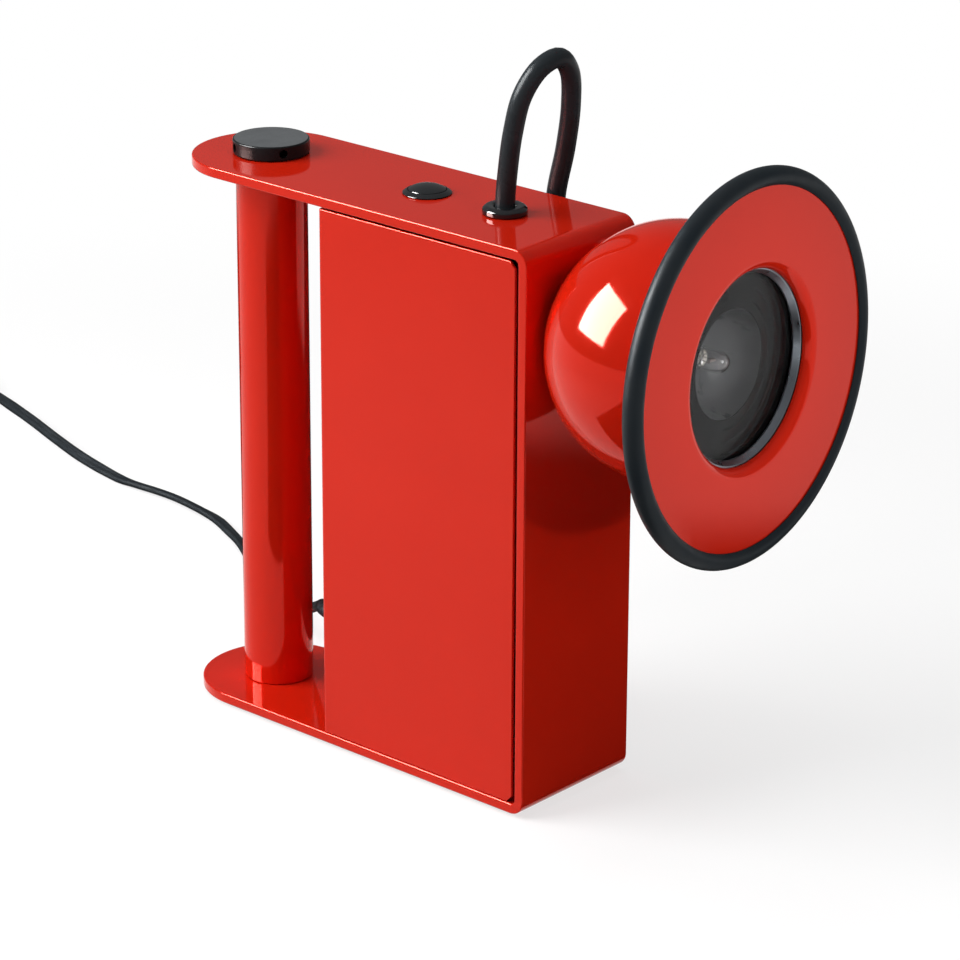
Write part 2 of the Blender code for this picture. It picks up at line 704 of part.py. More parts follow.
# Handle
def build_handle():
    """Tube, end bushes, tie rod and capstan nut."""
    low = PLATE_FLOOR + TOUCH_GAP
    high = PLATE_CEILING - TOUCH_GAP
    inside = TUBE_RADIUS - TUBE_WALL
    spot = at(TUBE_X, 0.0, 0.0)
    ring("handle_tube", inside, TUBE_RADIUS, low, high, MEDIUM_STEPS, RED_PAINT, matrix=spot)
    bore = ROD_RADIUS + FIT_GAP
    plug = inside - FIT_GAP
    ring("tube_bush_bottom", bore, plug, low, low + BUSH_LENGTH, SMALL_STEPS, BLACK_PLASTIC, matrix=spot)
    ring("tube_bush_top", bore, plug, high - BUSH_LENGTH, high, SMALL_STEPS, BLACK_PLASTIC, matrix=spot)
    knob_low = FRAME_TOP + TOUCH_GAP
    knob_high = knob_low + KNOB_HEIGHT
    rod_top = knob_high - KNOB_CROWN - TOUCH_GAP
    countersunk_screw("tie_rod", ROD_RADIUS, ROD_HEAD_RADIUS, ROD_HEAD_DEPTH, rod_top, spot)
    build_knob(knob_low, knob_high, spot)


def build_knob(low, high, spot):
    """Round nut with four holes round its side for a bar."""
    bore = ROD_RADIUS + FIT_GAP
    profile = [
        (0.0, high),
        (KNOB_RADIUS - KNOB_EDGE, high),
        (KNOB_RADIUS, high - KNOB_EDGE),
        (KNOB_RADIUS, low),
        (bore, low),
        (bore, high - KNOB_CROWN),
        (0.0, high - KNOB_CROWN),
    ]
    knob = turned("capstan_knob", profile, LARGE_STEPS, BLACK_GLOSS, matrix=spot)
    middle = (low + high) / 2
    for index in range(KNOB_HOLE_COUNT):
        angle = KNOB_FIRST_HOLE_ANGLE + math.tau * index / KNOB_HOLE_COUNT
        outward = Vector((math.cos(angle), math.sin(angle), 0.0))
        bored(
            knob, f"knob_hole_{index}", KNOB_HOLE_RADIUS, KNOB_RADIUS - KNOB_HOLE_DEPTH,
            KNOB_RADIUS + CUT_OVERRUN,
            SCREW_STEPS, at(TUBE_X, 0.0, middle) @ along(outward),
        )
    return knob


# Box: cover and chassis
def build_cover():
    """Folded sheet: near side, rear and far side."""
    half = FRAME_WIDTH / 2 - COVER_INSET - COVER_SHEET / 2
    rear = COVER_REAR + COVER_SHEET / 2
    outline = bent_strip(
        [(COVER_FRONT, -half), (rear, -half), (rear, half), (COVER_FRONT, half)], COVER_SHEET,
        COVER_INNER_BEND,
    )
    cover = outline_plate("cover_shell", [outline], COVER_BOTTOM, COVER_TOP, RED_PAINT)
    for name, z, up in (("low", COVER_BOTTOM, 1), ("high", COVER_TOP, -1)):
        cut = COVER_CORNER_CUT
        past = CUT_OVERRUN
        corner = [
            (COVER_FRONT - cut - past, z - up * past),
            (COVER_FRONT + past, z + up * (cut + past)),
            (COVER_FRONT + past, z - up * past),
        ]
        side = FRAME_WIDTH / 2 + past
        cutter = outline_plate(f"cover_{name}_cutter", [corner], -side, side, group=CUTTERS, matrix=UPRIGHT)
        boolean(cover, cutter)
    bored(
        cover, "cover_cord", RELIEF_SPIGOT_RADIUS + FIT_GAP, COVER_REAR - CUT_OVERRUN,
        COVER_REAR + COVER_SHEET + CUT_OVERRUN, SMALL_STEPS, at(0.0, 0.0, CORD_EXIT_HEIGHT) @ along(X_AXIS),
    )
    for index, z in enumerate(cover_screw_heights()):
        bored(
            cover, f"cover_screw_{index}", SMALL_SCREW_RADIUS + FIT_GAP, COVER_REAR - CUT_OVERRUN,
            COVER_REAR + COVER_SHEET + CUT_OVERRUN, SCREW_STEPS, at(0.0, 0.0, z) @ along(X_AXIS),
        )
    shade(cover)
    return cover


def cover_screw_heights():
    """Heights of the two screws in the rear of the cover."""
    return (COVER_BOTTOM + COVER_SCREW_FROM_END, COVER_TOP - COVER_SCREW_FROM_END)


def build_chassis():
    """Bent bracket: top lip, wall and floor."""
    half = CHASSIS_SHEET / 2
    ceiling = PLATE_CEILING - TOUCH_GAP
    wall = CHASSIS_REAR + half
    floor = PLATE_FLOOR + TOUCH_GAP + half
    outline = bent_strip(
        [
            (CHASSIS_REAR + CHASSIS_TOP_LENGTH, ceiling - half),
            (wall, ceiling - half),
            (wall, floor),
            (CHASSIS_REAR + CHASSIS_LENGTH, floor),
        ],
        CHASSIS_SHEET, CHASSIS_INNER_BEND,
    )
    side = CHASSIS_WIDTH / 2
    chassis = outline_plate("chassis", [outline], -side, side, STEEL, matrix=UPRIGHT)
    wall_low = CHASSIS_REAR - CUT_OVERRUN
    wall_high = CHASSIS_WALL_FACE + CUT_OVERRUN
    bored(
        chassis, "chassis_cord", RELIEF_SPIGOT_RADIUS + FIT_GAP, wall_low, wall_high, SMALL_STEPS,
        at(0.0, 0.0, CORD_EXIT_HEIGHT) @ along(X_AXIS),
    )
    for index, z in enumerate(cover_screw_heights()):
        bored(
            chassis, f"chassis_wall_{index}", SMALL_SCREW_RADIUS + FIT_GAP, wall_low, wall_high,
            SCREW_STEPS,
            at(0.0, 0.0, z) @ along(X_AXIS),
        )
    low = PLATE_FLOOR - CUT_OVERRUN
    high = CHASSIS_FLOOR + CUT_OVERRUN
    for index, (x, y) in enumerate(base_screw_places()):
        bored(
            chassis, f"chassis_base_{index}", BASE_SCREW_RADIUS + FIT_GAP, low, high, SCREW_STEPS,
            at(x, y, 0.0),
        )
    for index, x in enumerate(strap_screw_places()):
        bored(
            chassis, f"chassis_strap_{index}", SMALL_SCREW_RADIUS + FIT_GAP, low, high, SCREW_STEPS,
            at(x, 0.0, 0.0),
        )
    return chassis


def pan_screw(name, shank, matrix, finish=STEEL):
    """Slotted round head screw: the head's underside at zero, its shank down from there."""
    profile = [
        (0.0, SMALL_HEAD_HEIGHT),
        (SMALL_HEAD_RADIUS * SMALL_HEAD_FLAT_SHARE, SMALL_HEAD_HEIGHT),
        (SMALL_HEAD_RADIUS, SMALL_HEAD_HEIGHT / 2),
        (SMALL_HEAD_RADIUS, 0.0),
        (SMALL_SCREW_RADIUS, 0.0),
        (SMALL_SCREW_RADIUS, -shank),
        (0.0, -shank),
    ]
    screw = turned(name, profile, SCREW_STEPS, finish, matrix=matrix)
    half = SMALL_SLOT_WIDTH / 2
    reach = SMALL_HEAD_RADIUS + CUT_OVERRUN
    slot = block(
        name + "_slot_cutter", (-reach, -half, SMALL_HEAD_HEIGHT - SMALL_SLOT_DEPTH),
        (reach, half, SMALL_HEAD_HEIGHT + CUT_OVERRUN), group=CUTTERS, matrix=matrix,
    )
    return boolean(screw, slot)


def build_box_screws():
    """Screws of the cover and of the chassis."""
    shank = TOUCH_GAP + COVER_SHEET + TOUCH_GAP + CHASSIS_SHEET + SCREW_END_OUT
    for name, z in zip(("cover_screw_lower", "cover_screw_upper"), cover_screw_heights()):
        pan_screw(name, shank, at(COVER_REAR - TOUCH_GAP, 0.0, z) @ along(-X_AXIS), BLACK_GLOSS)
    for index, (x, y) in enumerate(base_screw_places()):
        countersunk_screw(
            f"base_screw_{index + 1}", BASE_SCREW_RADIUS, BASE_SCREW_HEAD_RADIUS, BASE_SCREW_HEAD_DEPTH,
            CHASSIS_FLOOR + BASE_SCREW_OUT, at(x, y, 0.0),
        )


# Transformer
def build_transformer():
    """Core, bobbin, winding, strap, its screws and the terminal block."""
    half_width = CORE_WIDTH / 2
    window_x = CORE_LEG / 2 + CORE_WINDOW_WIDTH / 2
    core_outline = [
        (CORE_X - half_width, CORE_BOTTOM), (CORE_X + half_width, CORE_BOTTOM),
        (CORE_X + half_width, CORE_BOTTOM + CORE_HEIGHT), (CORE_X - half_width, CORE_BOTTOM + CORE_HEIGHT),
    ]
    windows = [
        rectangle(CORE_X + side * window_x, CORE_MIDDLE, CORE_WINDOW_WIDTH, CORE_WINDOW_HEIGHT)
        for side in (-1, 1)
    ]
    stack = CORE_STACK / 2
    outline_plate("transformer_core", [core_outline] + windows, -stack, stack, CORE_STEEL, matrix=UPRIGHT)
    leg_x = CORE_LEG / 2 + FIT_GAP
    leg_y = stack + FIT_GAP
    wall_x = leg_x + BOBBIN_WALL
    wall_y = leg_y + BOBBIN_WALL
    depth = CORE_WINDOW_WIDTH - FIT_GAP * 2
    rim_x = leg_x + depth
    rim_y = leg_y + depth
    half_height = CORE_WINDOW_HEIGHT / 2 - FIT_GAP
    spot = at(CORE_X, 0.0, CORE_MIDDLE)
    spool = outline_plate(
        "coil_bobbin", [rectangle(0, 0, rim_x * 2, rim_y * 2), rectangle(0, 0, leg_x * 2, leg_y * 2)],
        -half_height, half_height, BLACK_PLASTIC, matrix=spot,
    )
    throat = half_height - BOBBIN_FLANGE
    past = CUT_OVERRUN
    waist = outline_plate(
        "bobbin_cutter", [
            rectangle(0, 0, (rim_x + past) * 2, (rim_y + past) * 2),
            rectangle(0, 0, wall_x * 2, wall_y * 2),
        ],
        -throat, throat, group=CUTTERS, matrix=spot,
    )
    boolean(spool, waist)
    outer_x = rim_x - WINDING_MARGIN
    outer_y = rim_y - WINDING_MARGIN
    inner_x = wall_x + FIT_GAP
    inner_y = wall_y + FIT_GAP
    outline_plate(
        "coil_winding", [
            rounded_rectangle(outer_x, outer_y, depth / 2), rectangle(0, 0, inner_x * 2, inner_y * 2),
        ],
        -throat + FIT_GAP, throat - FIT_GAP, COPPER, matrix=spot,
    )
    build_strap()
    build_terminal()


def rectangle(x, y, width, height):
    """A rectangle as a closed outline."""
    return [
        (x - width / 2, y - height / 2), (x + width / 2, y - height / 2),
        (x + width / 2, y + height / 2), (x - width / 2, y + height / 2),
    ]


def rounded_rectangle(half_x, half_y, radius):
    """A rectangle with round corners, about the origin."""
    points = []
    for index, (sx, sy) in enumerate(((1, 1), (-1, 1), (-1, -1), (1, -1))):
        start = math.radians(90) * index
        centre = (sx * (half_x - radius), sy * (half_y - radius))
        points.extend(arc(centre, radius, start, start + math.radians(90), RISE_STEPS))
    return points


def strap_screw_places():
    """X of the two screws that hold the strap's feet."""
    reach = CORE_WIDTH / 2 + TOUCH_GAP + STRAP_SHEET + STRAP_FOOT / 2
    return (CORE_X - reach, CORE_X + reach)


def build_strap():
    """Strap over the core, with two feet and their screws."""
    half = STRAP_SHEET / 2
    foot_z = CHASSIS_FLOOR + TOUCH_GAP + half
    side = CORE_WIDTH / 2 + TOUCH_GAP + half
    top = CORE_BOTTOM + CORE_HEIGHT + TOUCH_GAP + half
    out = side + half + STRAP_FOOT
    corners = [
        (CORE_X - out, foot_z), (CORE_X - side, foot_z), (CORE_X - side, top),
        (CORE_X + side, top), (CORE_X + side, foot_z), (CORE_X + out, foot_z),
    ]
    outline = bent_strip(corners, STRAP_SHEET, STRAP_INNER_BEND)
    reach = STRAP_WIDTH / 2
    strap = outline_plate("transformer_strap", [outline], -reach, reach, STEEL, matrix=UPRIGHT)
    for index, (name, x) in enumerate(zip(("strap_screw_rear", "strap_screw_front"), strap_screw_places())):
        foot_top = CHASSIS_FLOOR + TOUCH_GAP + STRAP_SHEET
        bored(
            strap, f"strap_hole_{index}", SMALL_SCREW_RADIUS + FIT_GAP, CHASSIS_FLOOR - CUT_OVERRUN,
            foot_top + CUT_OVERRUN, SCREW_STEPS, at(x, 0.0, 0.0),
        )
        shank = TOUCH_GAP + STRAP_SHEET + TOUCH_GAP + CHASSIS_SHEET
        pan_screw(name, shank, at(x, 0.0, foot_top + TOUCH_GAP))


def terminal_low():
    """Height of the terminal block's lower face."""
    return UNDERSIDE + FRAME_HEIGHT * TERMINAL_Z_SHARE


def terminal_ways():
    """Y of each way of the terminal block."""
    step = TERMINAL_LENGTH / TERMINAL_WAYS
    return [(index - (TERMINAL_WAYS - 1) / 2) * step for index in range(TERMINAL_WAYS)]


def terminal_face():
    """X of the terminal block's rear face."""
    return CHASSIS_WALL_FACE + TOUCH_GAP


def build_terminal():
    """Terminal block with wire holes up through it and screw wells in its front."""
    rear = terminal_face()
    low = terminal_low()
    half = TERMINAL_LENGTH / 2
    item = block(
        "terminal_block", (rear, -half, low), (rear + TERMINAL_DEPTH, half, low + TERMINAL_HEIGHT), CERAMIC,
    )
    for index, y in enumerate(terminal_ways()):
        bored(
            item, f"terminal_wire_{index}", TERMINAL_HOLE_RADIUS, low - CUT_OVERRUN,
            low + TERMINAL_HEIGHT + CUT_OVERRUN, SCREW_STEPS, at(rear + TERMINAL_DEPTH / 2, y, 0.0),
        )
        bored(
            item, f"terminal_well_{index}", TERMINAL_WELL_RADIUS,
            rear + TERMINAL_DEPTH - TERMINAL_WELL_DEPTH,
            rear + TERMINAL_DEPTH + CUT_OVERRUN, SCREW_STEPS,
            at(0.0, y, low + TERMINAL_HEIGHT / 2) @ along(X_AXIS),
        )
    return item


# Switch
def build_switch():
    """Bezel with its barrel, nut, domed button, spring and switch body."""
    spot = at(SWITCH_X, 0.0, 0.0)
    seat = FRAME_TOP + TOUCH_GAP
    top = seat + SWITCH_FLANGE_HEIGHT
    bore = SWITCH_BARREL_RADIUS - SWITCH_BARREL_WALL
    bottom = FRAME_TOP - SWITCH_BARREL_LENGTH
    floor_top = bottom + SWITCH_FLOOR
    stem_hole = BUTTON_STEM_RADIUS + FIT_GAP
    edge = SWITCH_FLANGE_HEIGHT / 2
    bezel = [
        (bore, top),
        (SWITCH_FLANGE_RADIUS - edge, top),
        (SWITCH_FLANGE_RADIUS, top - edge),
        (SWITCH_FLANGE_RADIUS, seat),
        (SWITCH_BARREL_RADIUS, seat),
        (SWITCH_BARREL_RADIUS, bottom),
        (stem_hole, bottom),
        (stem_hole, floor_top),
        (bore, floor_top),
    ]
    turned("switch_bezel", bezel, MEDIUM_STEPS, BLACK_GLOSS, matrix=spot, closed=True)
    nut_top = PLATE_CEILING - TOUCH_GAP
    hex_nut(
        "switch_nut", SWITCH_BARREL_RADIUS + FIT_GAP, SWITCH_NUT_RADIUS, nut_top - SWITCH_NUT_HEIGHT,
        nut_top, spot,
    )
    crown = FRAME_TOP + BUTTON_RISE
    shoulder = crown - BUTTON_DOME_HEIGHT
    skirt = shoulder - BUTTON_SKIRT
    body_top = bottom - TOUCH_GAP
    stem_end = body_top + BUTTON_TRAVEL + TOUCH_GAP
    cap = bore - FIT_GAP
    dome = dome_profile(cap, shoulder, crown, DOME_STEPS)
    button = dome + [
        (cap, skirt), (BUTTON_STEM_RADIUS, skirt), (BUTTON_STEM_RADIUS, stem_end), (0.0, stem_end),
    ]
    turned("switch_button", button, MEDIUM_STEPS, BLACK_GLOSS, matrix=spot)
    build_spring(floor_top + TOUCH_GAP, skirt - TOUCH_GAP)
    half_length = SWITCH_BODY_LENGTH / 2
    half_width = SWITCH_BODY_WIDTH / 2
    block(
        "switch_body", (SWITCH_X - half_length, -half_width, body_top - SWITCH_BODY_HEIGHT),
        (SWITCH_X + half_length, half_width, body_top), BLACK_PLASTIC,
    )


def dome_profile(radius, low, high, steps):
    """A low dome from its crown on the axis down to its edge."""
    points = []
    for index in range(steps + 1):
        share = index / steps
        turn = math.radians(90) * share
        points.append((radius * math.sin(turn), low + (high - low) * math.cos(turn)))
    points[0] = (0.0, high)
    return points


def hex_nut(name, bore, radius, low, high, matrix, finish=STEEL):
    """Six-sided nut, its corners on the radius."""
    corners = arc((0.0, 0.0), radius, 0.0, math.tau * 5 / 6, 5)
    hole = circle_outline((0.0, 0.0), bore, SMALL_STEPS)
    return outline_plate(name, [corners, hole], low, high, finish, matrix=matrix)


def build_spring(low, high):
    """Coil spring under the button, one unbroken wire."""
    points = []
    count = SPRING_TURNS * SPRING_POINTS_A_TURN
    first = low + SPRING_WIRE_RADIUS
    rise = high - low - SPRING_WIRE_RADIUS * 2
    for index in range(count + 1):
        turn = math.tau * SPRING_TURNS * index / count
        points.append((
            SWITCH_X + SPRING_RADIUS * math.cos(turn), SPRING_RADIUS * math.sin(turn),
            first + rise * index / count,
        ))
    return tube_along("button_spring", points, SPRING_WIRE_RADIUS, STEEL, resolution=1)


# Lead from the frame to the head
def build_lead_gland():
    """Round gland on the top plate, with its nut under it."""
    spot = at(GLAND_X, 0.0, 0.0)
    seat = FRAME_TOP + TOUCH_GAP
    top = seat + GLAND_HEIGHT
    bore = LEAD_RADIUS + FIT_GAP
    bite = GLAND_EDGE / 3
    profile = [
        (bore + GLAND_MOUTH, top),
        (GLAND_RADIUS - GLAND_EDGE, top),
        (GLAND_RADIUS - bite, top - bite),
        (GLAND_RADIUS, top - GLAND_EDGE),
        (GLAND_RADIUS, seat),
        (GLAND_BARREL_RADIUS, seat),
        (GLAND_BARREL_RADIUS, FRAME_TOP - GLAND_BARREL_LENGTH),
        (bore, FRAME_TOP - GLAND_BARREL_LENGTH),
        (bore, top - GLAND_MOUTH),
    ]
    turned("lead_gland", profile, MEDIUM_STEPS, BLACK_GLOSS, matrix=spot, closed=True)
    nut_top = PLATE_CEILING - TOUCH_GAP
    hex_nut(
        "lead_gland_nut", GLAND_BARREL_RADIUS + FIT_GAP, GLAND_RADIUS, nut_top - GLAND_NUT_HEIGHT,
        nut_top, spot,
    )


def head_gland_axis():
    """Direction in which the lead's gland points out of the ball."""
    local = Vector((math.cos(HEAD_GLAND_TURN), math.sin(HEAD_GLAND_TURN), 0.0))
    return (HEAD_TURN.to_3x3() @ local).normalized()


LEAD_LOOP = (
    (0.0127, 0.0058, 0.2824),
    (0.0392, 0.0174, 0.5420),
    (0.0816, 0.0522, 0.7863),
    (0.1292, 0.2174, 0.9542),
    (0.1504, 0.4783, 1.0000),
    (0.1324, 0.7391, 0.8855),
    (0.0794, 0.9420, 0.6336),
    (0.0053, 1.0870, 0.3130),
    (-0.0752, 1.1739, -0.0382),
    (-0.1271, 1.3188, -0.3740),
    (-0.1070, 1.5507, -0.6641),
    (-0.0191, 1.7391, -0.8550),
    (0.1186, 1.8841, -0.9160),
    (0.2616, 1.9565, -0.8550),
    (0.3887, 1.9275, -0.7252),
)


def build_head_lead():
    """Round lead from inside the frame, over its loop, down the far side and into the ball."""
    start = Vector((GLAND_X, 0.0, FRAME_TOP - LEAD_INSIDE))
    gland_top = Vector((GLAND_X, 0.0, FRAME_TOP + GLAND_HEIGHT))
    axis = head_gland_axis()
    surface = BALL_CENTRE + axis * BALL_RADIUS
    before = surface + axis * LEAD_STRAIGHT
    inside = surface - axis * LEAD_IN_HEAD
    run = BALL_CENTRE_X - GLAND_X
    loop = [
        Vector((GLAND_X + run * along_run, FRAME_WIDTH / 2 * across, FRAME_TOP + LEAD_RISE * up))
        for along_run, across, up in LEAD_LOOP
    ]
    route = [start, (start + gland_top) / 2, gland_top, *loop, before, surface, inside]
    points = smooth_route(route, LEAD_RADIUS * LEAD_POINT_SPACING)
    return tube_along("head_lead", points, LEAD_RADIUS, BLACK_RUBBER, resolution=3)


# Magnet seat
def build_magnet():
    """Steel cup behind the front plate, and the ring magnet that turns in it."""
    spot = at(0.0, 0.0, SEAT_Z) @ along(X_AXIS)
    back = FRONT_FACE - MAGNET_THICKNESS
    reach = BALL_RADIUS + TOUCH_GAP
    rise = []
    for index in range(RISE_STEPS + 1):
        radius = MAGNET_BORE_RADIUS + (MAGNET_RADIUS - MAGNET_BORE_RADIUS) * index / RISE_STEPS
        rise.append((radius, BALL_CENTRE_X - math.sqrt(reach ** 2 - radius ** 2)))
    profile = rise + [(MAGNET_RADIUS, back), (MAGNET_BORE_RADIUS, back)]
    turned("magnet_ring", profile, BALL_STEPS, FERRITE, matrix=spot, closed=True)
    inner = MAGNET_HOLE_RADIUS
    outer = inner + CUP_WALL
    mouth = FRONT_INSIDE - TOUCH_GAP
    floor_face = back - TOUCH_GAP
    cup = [
        (0.0, floor_face),
        (inner, floor_face),
        (inner, mouth),
        (outer + CUP_FLANGE_WIDTH, mouth),
        (outer + CUP_FLANGE_WIDTH, mouth - CUP_FLANGE_THICKNESS),
        (outer, mouth - CUP_FLANGE_THICKNESS),
        (outer, floor_face - CUP_WALL),
        (0.0, floor_face - CUP_WALL),
    ]
    turned("magnet_cup", cup, MEDIUM_STEPS, STEEL, matrix=spot)


# Head
def head_matrix():
    """Place of the turned head pieces, whose axis runs along the head's own X."""
    return HEAD_PLACE @ along(X_AXIS)


def build_ball():
    """Hollow ball, open where the flange closes it."""
    start = math.acos(BALL_CUT / BALL_RADIUS)
    outer = arc((0.0, 0.0), BALL_RADIUS, math.radians(90) - start, -math.radians(90), BALL_ARC_STEPS)
    outer[-1] = (0.0, -BALL_RADIUS)
    inner_end = math.radians(90) - BALL_INSIDE_START
    inner = arc((0.0, 0.0), BALL_INSIDE, -math.radians(90), inner_end, BALL_INNER_ARC_STEPS)
    inner[0] = (0.0, -BALL_INSIDE)
    ball = turned("ball_shell", inner + outer, BALL_STEPS, RED_PAINT, matrix=head_matrix())
    bored(
        ball, "ball_gland", HEAD_GLAND_BARREL + FIT_GAP, BALL_INSIDE - CUT_OVERRUN * 3,
        BALL_RADIUS + CUT_OVERRUN,
        SMALL_STEPS, Matrix.Translation(BALL_CENTRE) @ along(head_gland_axis()),
    )
    return ball


def build_disc():
    """Flange disc with its rolled inner lip, and the rubber rim on its edge."""
    outer = RIM_RING_RADIUS + DISC_INTO_RIM
    centre = (OPENING_RADIUS + OPENING_ROLL, ROLL_END)
    front = arc(centre, OPENING_ROLL, math.radians(180), math.radians(90), TIP_STEPS)
    back = arc(centre, OPENING_ROLL - DISC_SHEET, math.radians(90), math.radians(180), BEND_STEPS)
    profile = front + [(outer, DISC_FRONT), (outer, DISC_BACK)] + back
    turned("front_disc", profile, LARGE_STEPS, RED_PAINT, matrix=head_matrix(), closed=True)
    slot_front = DISC_FRONT + FIT_GAP
    slot_back = DISC_BACK - FIT_GAP
    slot_floor = outer + FIT_GAP
    high = math.asin((slot_front - RIM_PLANE) / RIM_TUBE_RADIUS)
    low = math.asin((slot_back - RIM_PLANE) / RIM_TUBE_RADIUS)
    round_part = arc(
        (RIM_RING_RADIUS, RIM_PLANE), RIM_TUBE_RADIUS, math.pi - high, -math.pi - low, RIM_ARC_STEPS,
    )
    section = round_part + [(slot_floor, slot_back), (slot_floor, slot_front)]
    turned("rim_trim", section, LARGE_STEPS, BLACK_RUBBER, matrix=head_matrix(), closed=True)


def ball_inside_at(height):
    """Radius that the ball's facets leave clear inside at a place along the head's axis."""
    return math.sqrt(BALL_INSIDE_CLEAR ** 2 - height ** 2)


def build_front_glass():
    """Bezel ring and glass behind the opening."""
    front = ROLL_END - TOUCH_GAP
    edge = ball_inside_at(front) - FIT_GAP
    back = front - BEZEL_DEPTH
    outer_front = min(edge, OPENING_RADIUS)
    profile = [
        (BEZEL_INNER_RADIUS, front - BEZEL_SLOPE_DEPTH),
        (outer_front, front),
        (edge, front),
        (edge, back),
        (BEZEL_INNER_RADIUS, back),
    ]
    turned("bezel_ring", profile, LARGE_STEPS, DARK_CHROME, matrix=head_matrix(), closed=True)
    glass_front = back - TOUCH_GAP
    glass_back = glass_front - GLASS_THICKNESS
    cylinder("front_glass", GLASS_RADIUS, glass_back, glass_front, LARGE_STEPS, GLASS, matrix=head_matrix())
    return glass_back


def build_reflector(glass_back):
    """Stepped dish with a deep round bowl, held by its flange against the ball's wall."""
    front = glass_back - TOUCH_GAP
    flange_back = front - REFLECTOR_FLANGE_DEPTH
    flange = ball_inside_at(front) - FIT_GAP
    bowl_rim = RIM_PLANE - BOWL_RIM_BACK
    floor = bowl_rim - BOWL_DEPTH
    face = [
        (REFLECTOR_MOUTH, front),
        (REFLECTOR_MOUTH - REFLECTOR_STEP, front - REFLECTOR_STEP),
        ((REFLECTOR_MOUTH + BOWL_RADIUS) / 2 + REFLECTOR_STEP / 2, (front + bowl_rim) / 2),
        (
            (REFLECTOR_MOUTH + BOWL_RADIUS) / 2 - REFLECTOR_STEP / 2,
            (front + bowl_rim) / 2 - REFLECTOR_STEP / 2,
        ),
    ]
    bowl = bowl_arc(BOWL_RADIUS, bowl_rim, BOWL_HOLE_RADIUS, floor, BOWL_ARC_STEPS)
    back_bowl = bowl_arc(
        BOWL_RADIUS + REFLECTOR_SHEET, bowl_rim - REFLECTOR_SHEET, BOWL_HOLE_RADIUS,
        floor - REFLECTOR_SHEET,
        BOWL_ARC_STEPS,
    )
    inner = face + bowl
    outer = back_bowl[::-1] + [
        (REFLECTOR_MOUTH + REFLECTOR_SHEET, flange_back - REFLECTOR_STEP),
        (flange, flange_back),
        (flange, front),
    ]
    profile = (inner + outer)[::-1]
    turned("reflector", profile, BALL_STEPS, DARK_CHROME, matrix=head_matrix(), closed=True)
    return floor - REFLECTOR_SHEET


def bowl_arc(rim_radius, rim, hole_radius, floor, steps):
    """Quarter of an ellipse from a bowl's rim to the edge of the hole in its floor."""
    points = []
    last = math.acos(hole_radius / rim_radius)
    for index in range(steps + 1):
        turn = last * index / steps
        depth = (rim - floor) * math.sin(turn) / math.sin(last)
        points.append((rim_radius * math.cos(turn), rim - depth))
    return points


def build_lamp(bowl_back):
    """Ceramic holder behind the bowl, with the two holes for the bulb's pins."""
    front = bowl_back - TOUCH_GAP
    flange_back = front - HOLDER_FLANGE_THICKNESS
    nose = front + REFLECTOR_SHEET + TOUCH_GAP
    spigot = BOWL_HOLE_RADIUS - FIT_GAP
    back = nose - HOLDER_LENGTH
    profile = [
        (0.0, nose),
        (spigot, nose),
        (spigot, front),
        (HOLDER_FLANGE_RADIUS, front),
        (HOLDER_FLANGE_RADIUS, flange_back),
        (HOLDER_RADIUS, flange_back),
        (HOLDER_RADIUS, back),
        (0.0, back),
    ]
    holder = turned("lamp_holder", profile, MEDIUM_STEPS, CERAMIC, matrix=head_matrix())
    pin_hole = BULB_PIN_RADIUS + FIT_GAP
    for index, side in enumerate((-1, 1)):
        pin_place = head_matrix() @ at(0.0, side * BULB_PIN_SPACING / 2, 0.0)
        bored(
            holder, f"holder_pin_{index}", pin_hole, nose - BULB_PIN_LENGTH - FIT_GAP,
            nose + CUT_OVERRUN, PIN_STEPS,
            pin_place,
        )
    return nose, back


def build_bulb(nose):
    """Glass capsule with its two pins, joined to one solid."""
    low = nose + TOUCH_GAP
    high = low + BULB_LENGTH
    neck = low + BULB_RADIUS * BULB_NECK_SHARE
    tip = arc((0.0, high - BULB_RADIUS), BULB_RADIUS, math.radians(90), 0.0, TIP_STEPS)
    tip[0] = (0.0, high)
    profile = tip + [(BULB_RADIUS, neck), (BULB_RADIUS * BULB_PINCH_SHARE, low), (0.0, low)]
    bulb = turned("halogen_bulb", profile, SMALL_STEPS, GLASS, matrix=head_matrix())
    for index, side in enumerate((-1, 1)):
        pin = cylinder(
            f"bulb_pin_{index}_join", BULB_PIN_RADIUS, nose - BULB_PIN_LENGTH, low + CUT_OVERRUN,
            PIN_STEPS, group=CUTTERS,
            matrix=head_matrix() @ at(0.0, side * BULB_PIN_SPACING / 2, 0.0),
        )
        boolean(bulb, pin, "UNION")
    return bulb


def build_head_gland():
    """Gland that the lead enters the ball by, and its nut inside."""
    spot = Matrix.Translation(BALL_CENTRE) @ along(head_gland_axis())
    bore = LEAD_RADIUS + FIT_GAP
    seat = BALL_RADIUS + TOUCH_GAP
    top = seat + HEAD_GLAND_HEIGHT
    profile = [
        (bore, top),
        (HEAD_GLAND_RADIUS - HEAD_GLAND_EDGE, top),
        (HEAD_GLAND_RADIUS, top - HEAD_GLAND_EDGE),
        (HEAD_GLAND_RADIUS, seat),
        (HEAD_GLAND_BARREL, seat),
        (HEAD_GLAND_BARREL, BALL_RADIUS - HEAD_GLAND_BARREL_LENGTH),
        (bore, BALL_RADIUS - HEAD_GLAND_BARREL_LENGTH),
    ]
    turned("head_gland", profile, SMALL_STEPS, BLACK_GLOSS, matrix=spot, closed=True)
    clear = BALL_INSIDE_CLEAR * math.cos(math.pi / BALL_STEPS)
    reach = math.sqrt(clear ** 2 - HEAD_GLAND_RADIUS ** 2) - TOUCH_GAP
    hex_nut(
        "head_gland_nut", HEAD_GLAND_BARREL + FIT_GAP, HEAD_GLAND_RADIUS, reach - HEAD_GLAND_NUT_HEIGHT,
        reach, spot,
    )


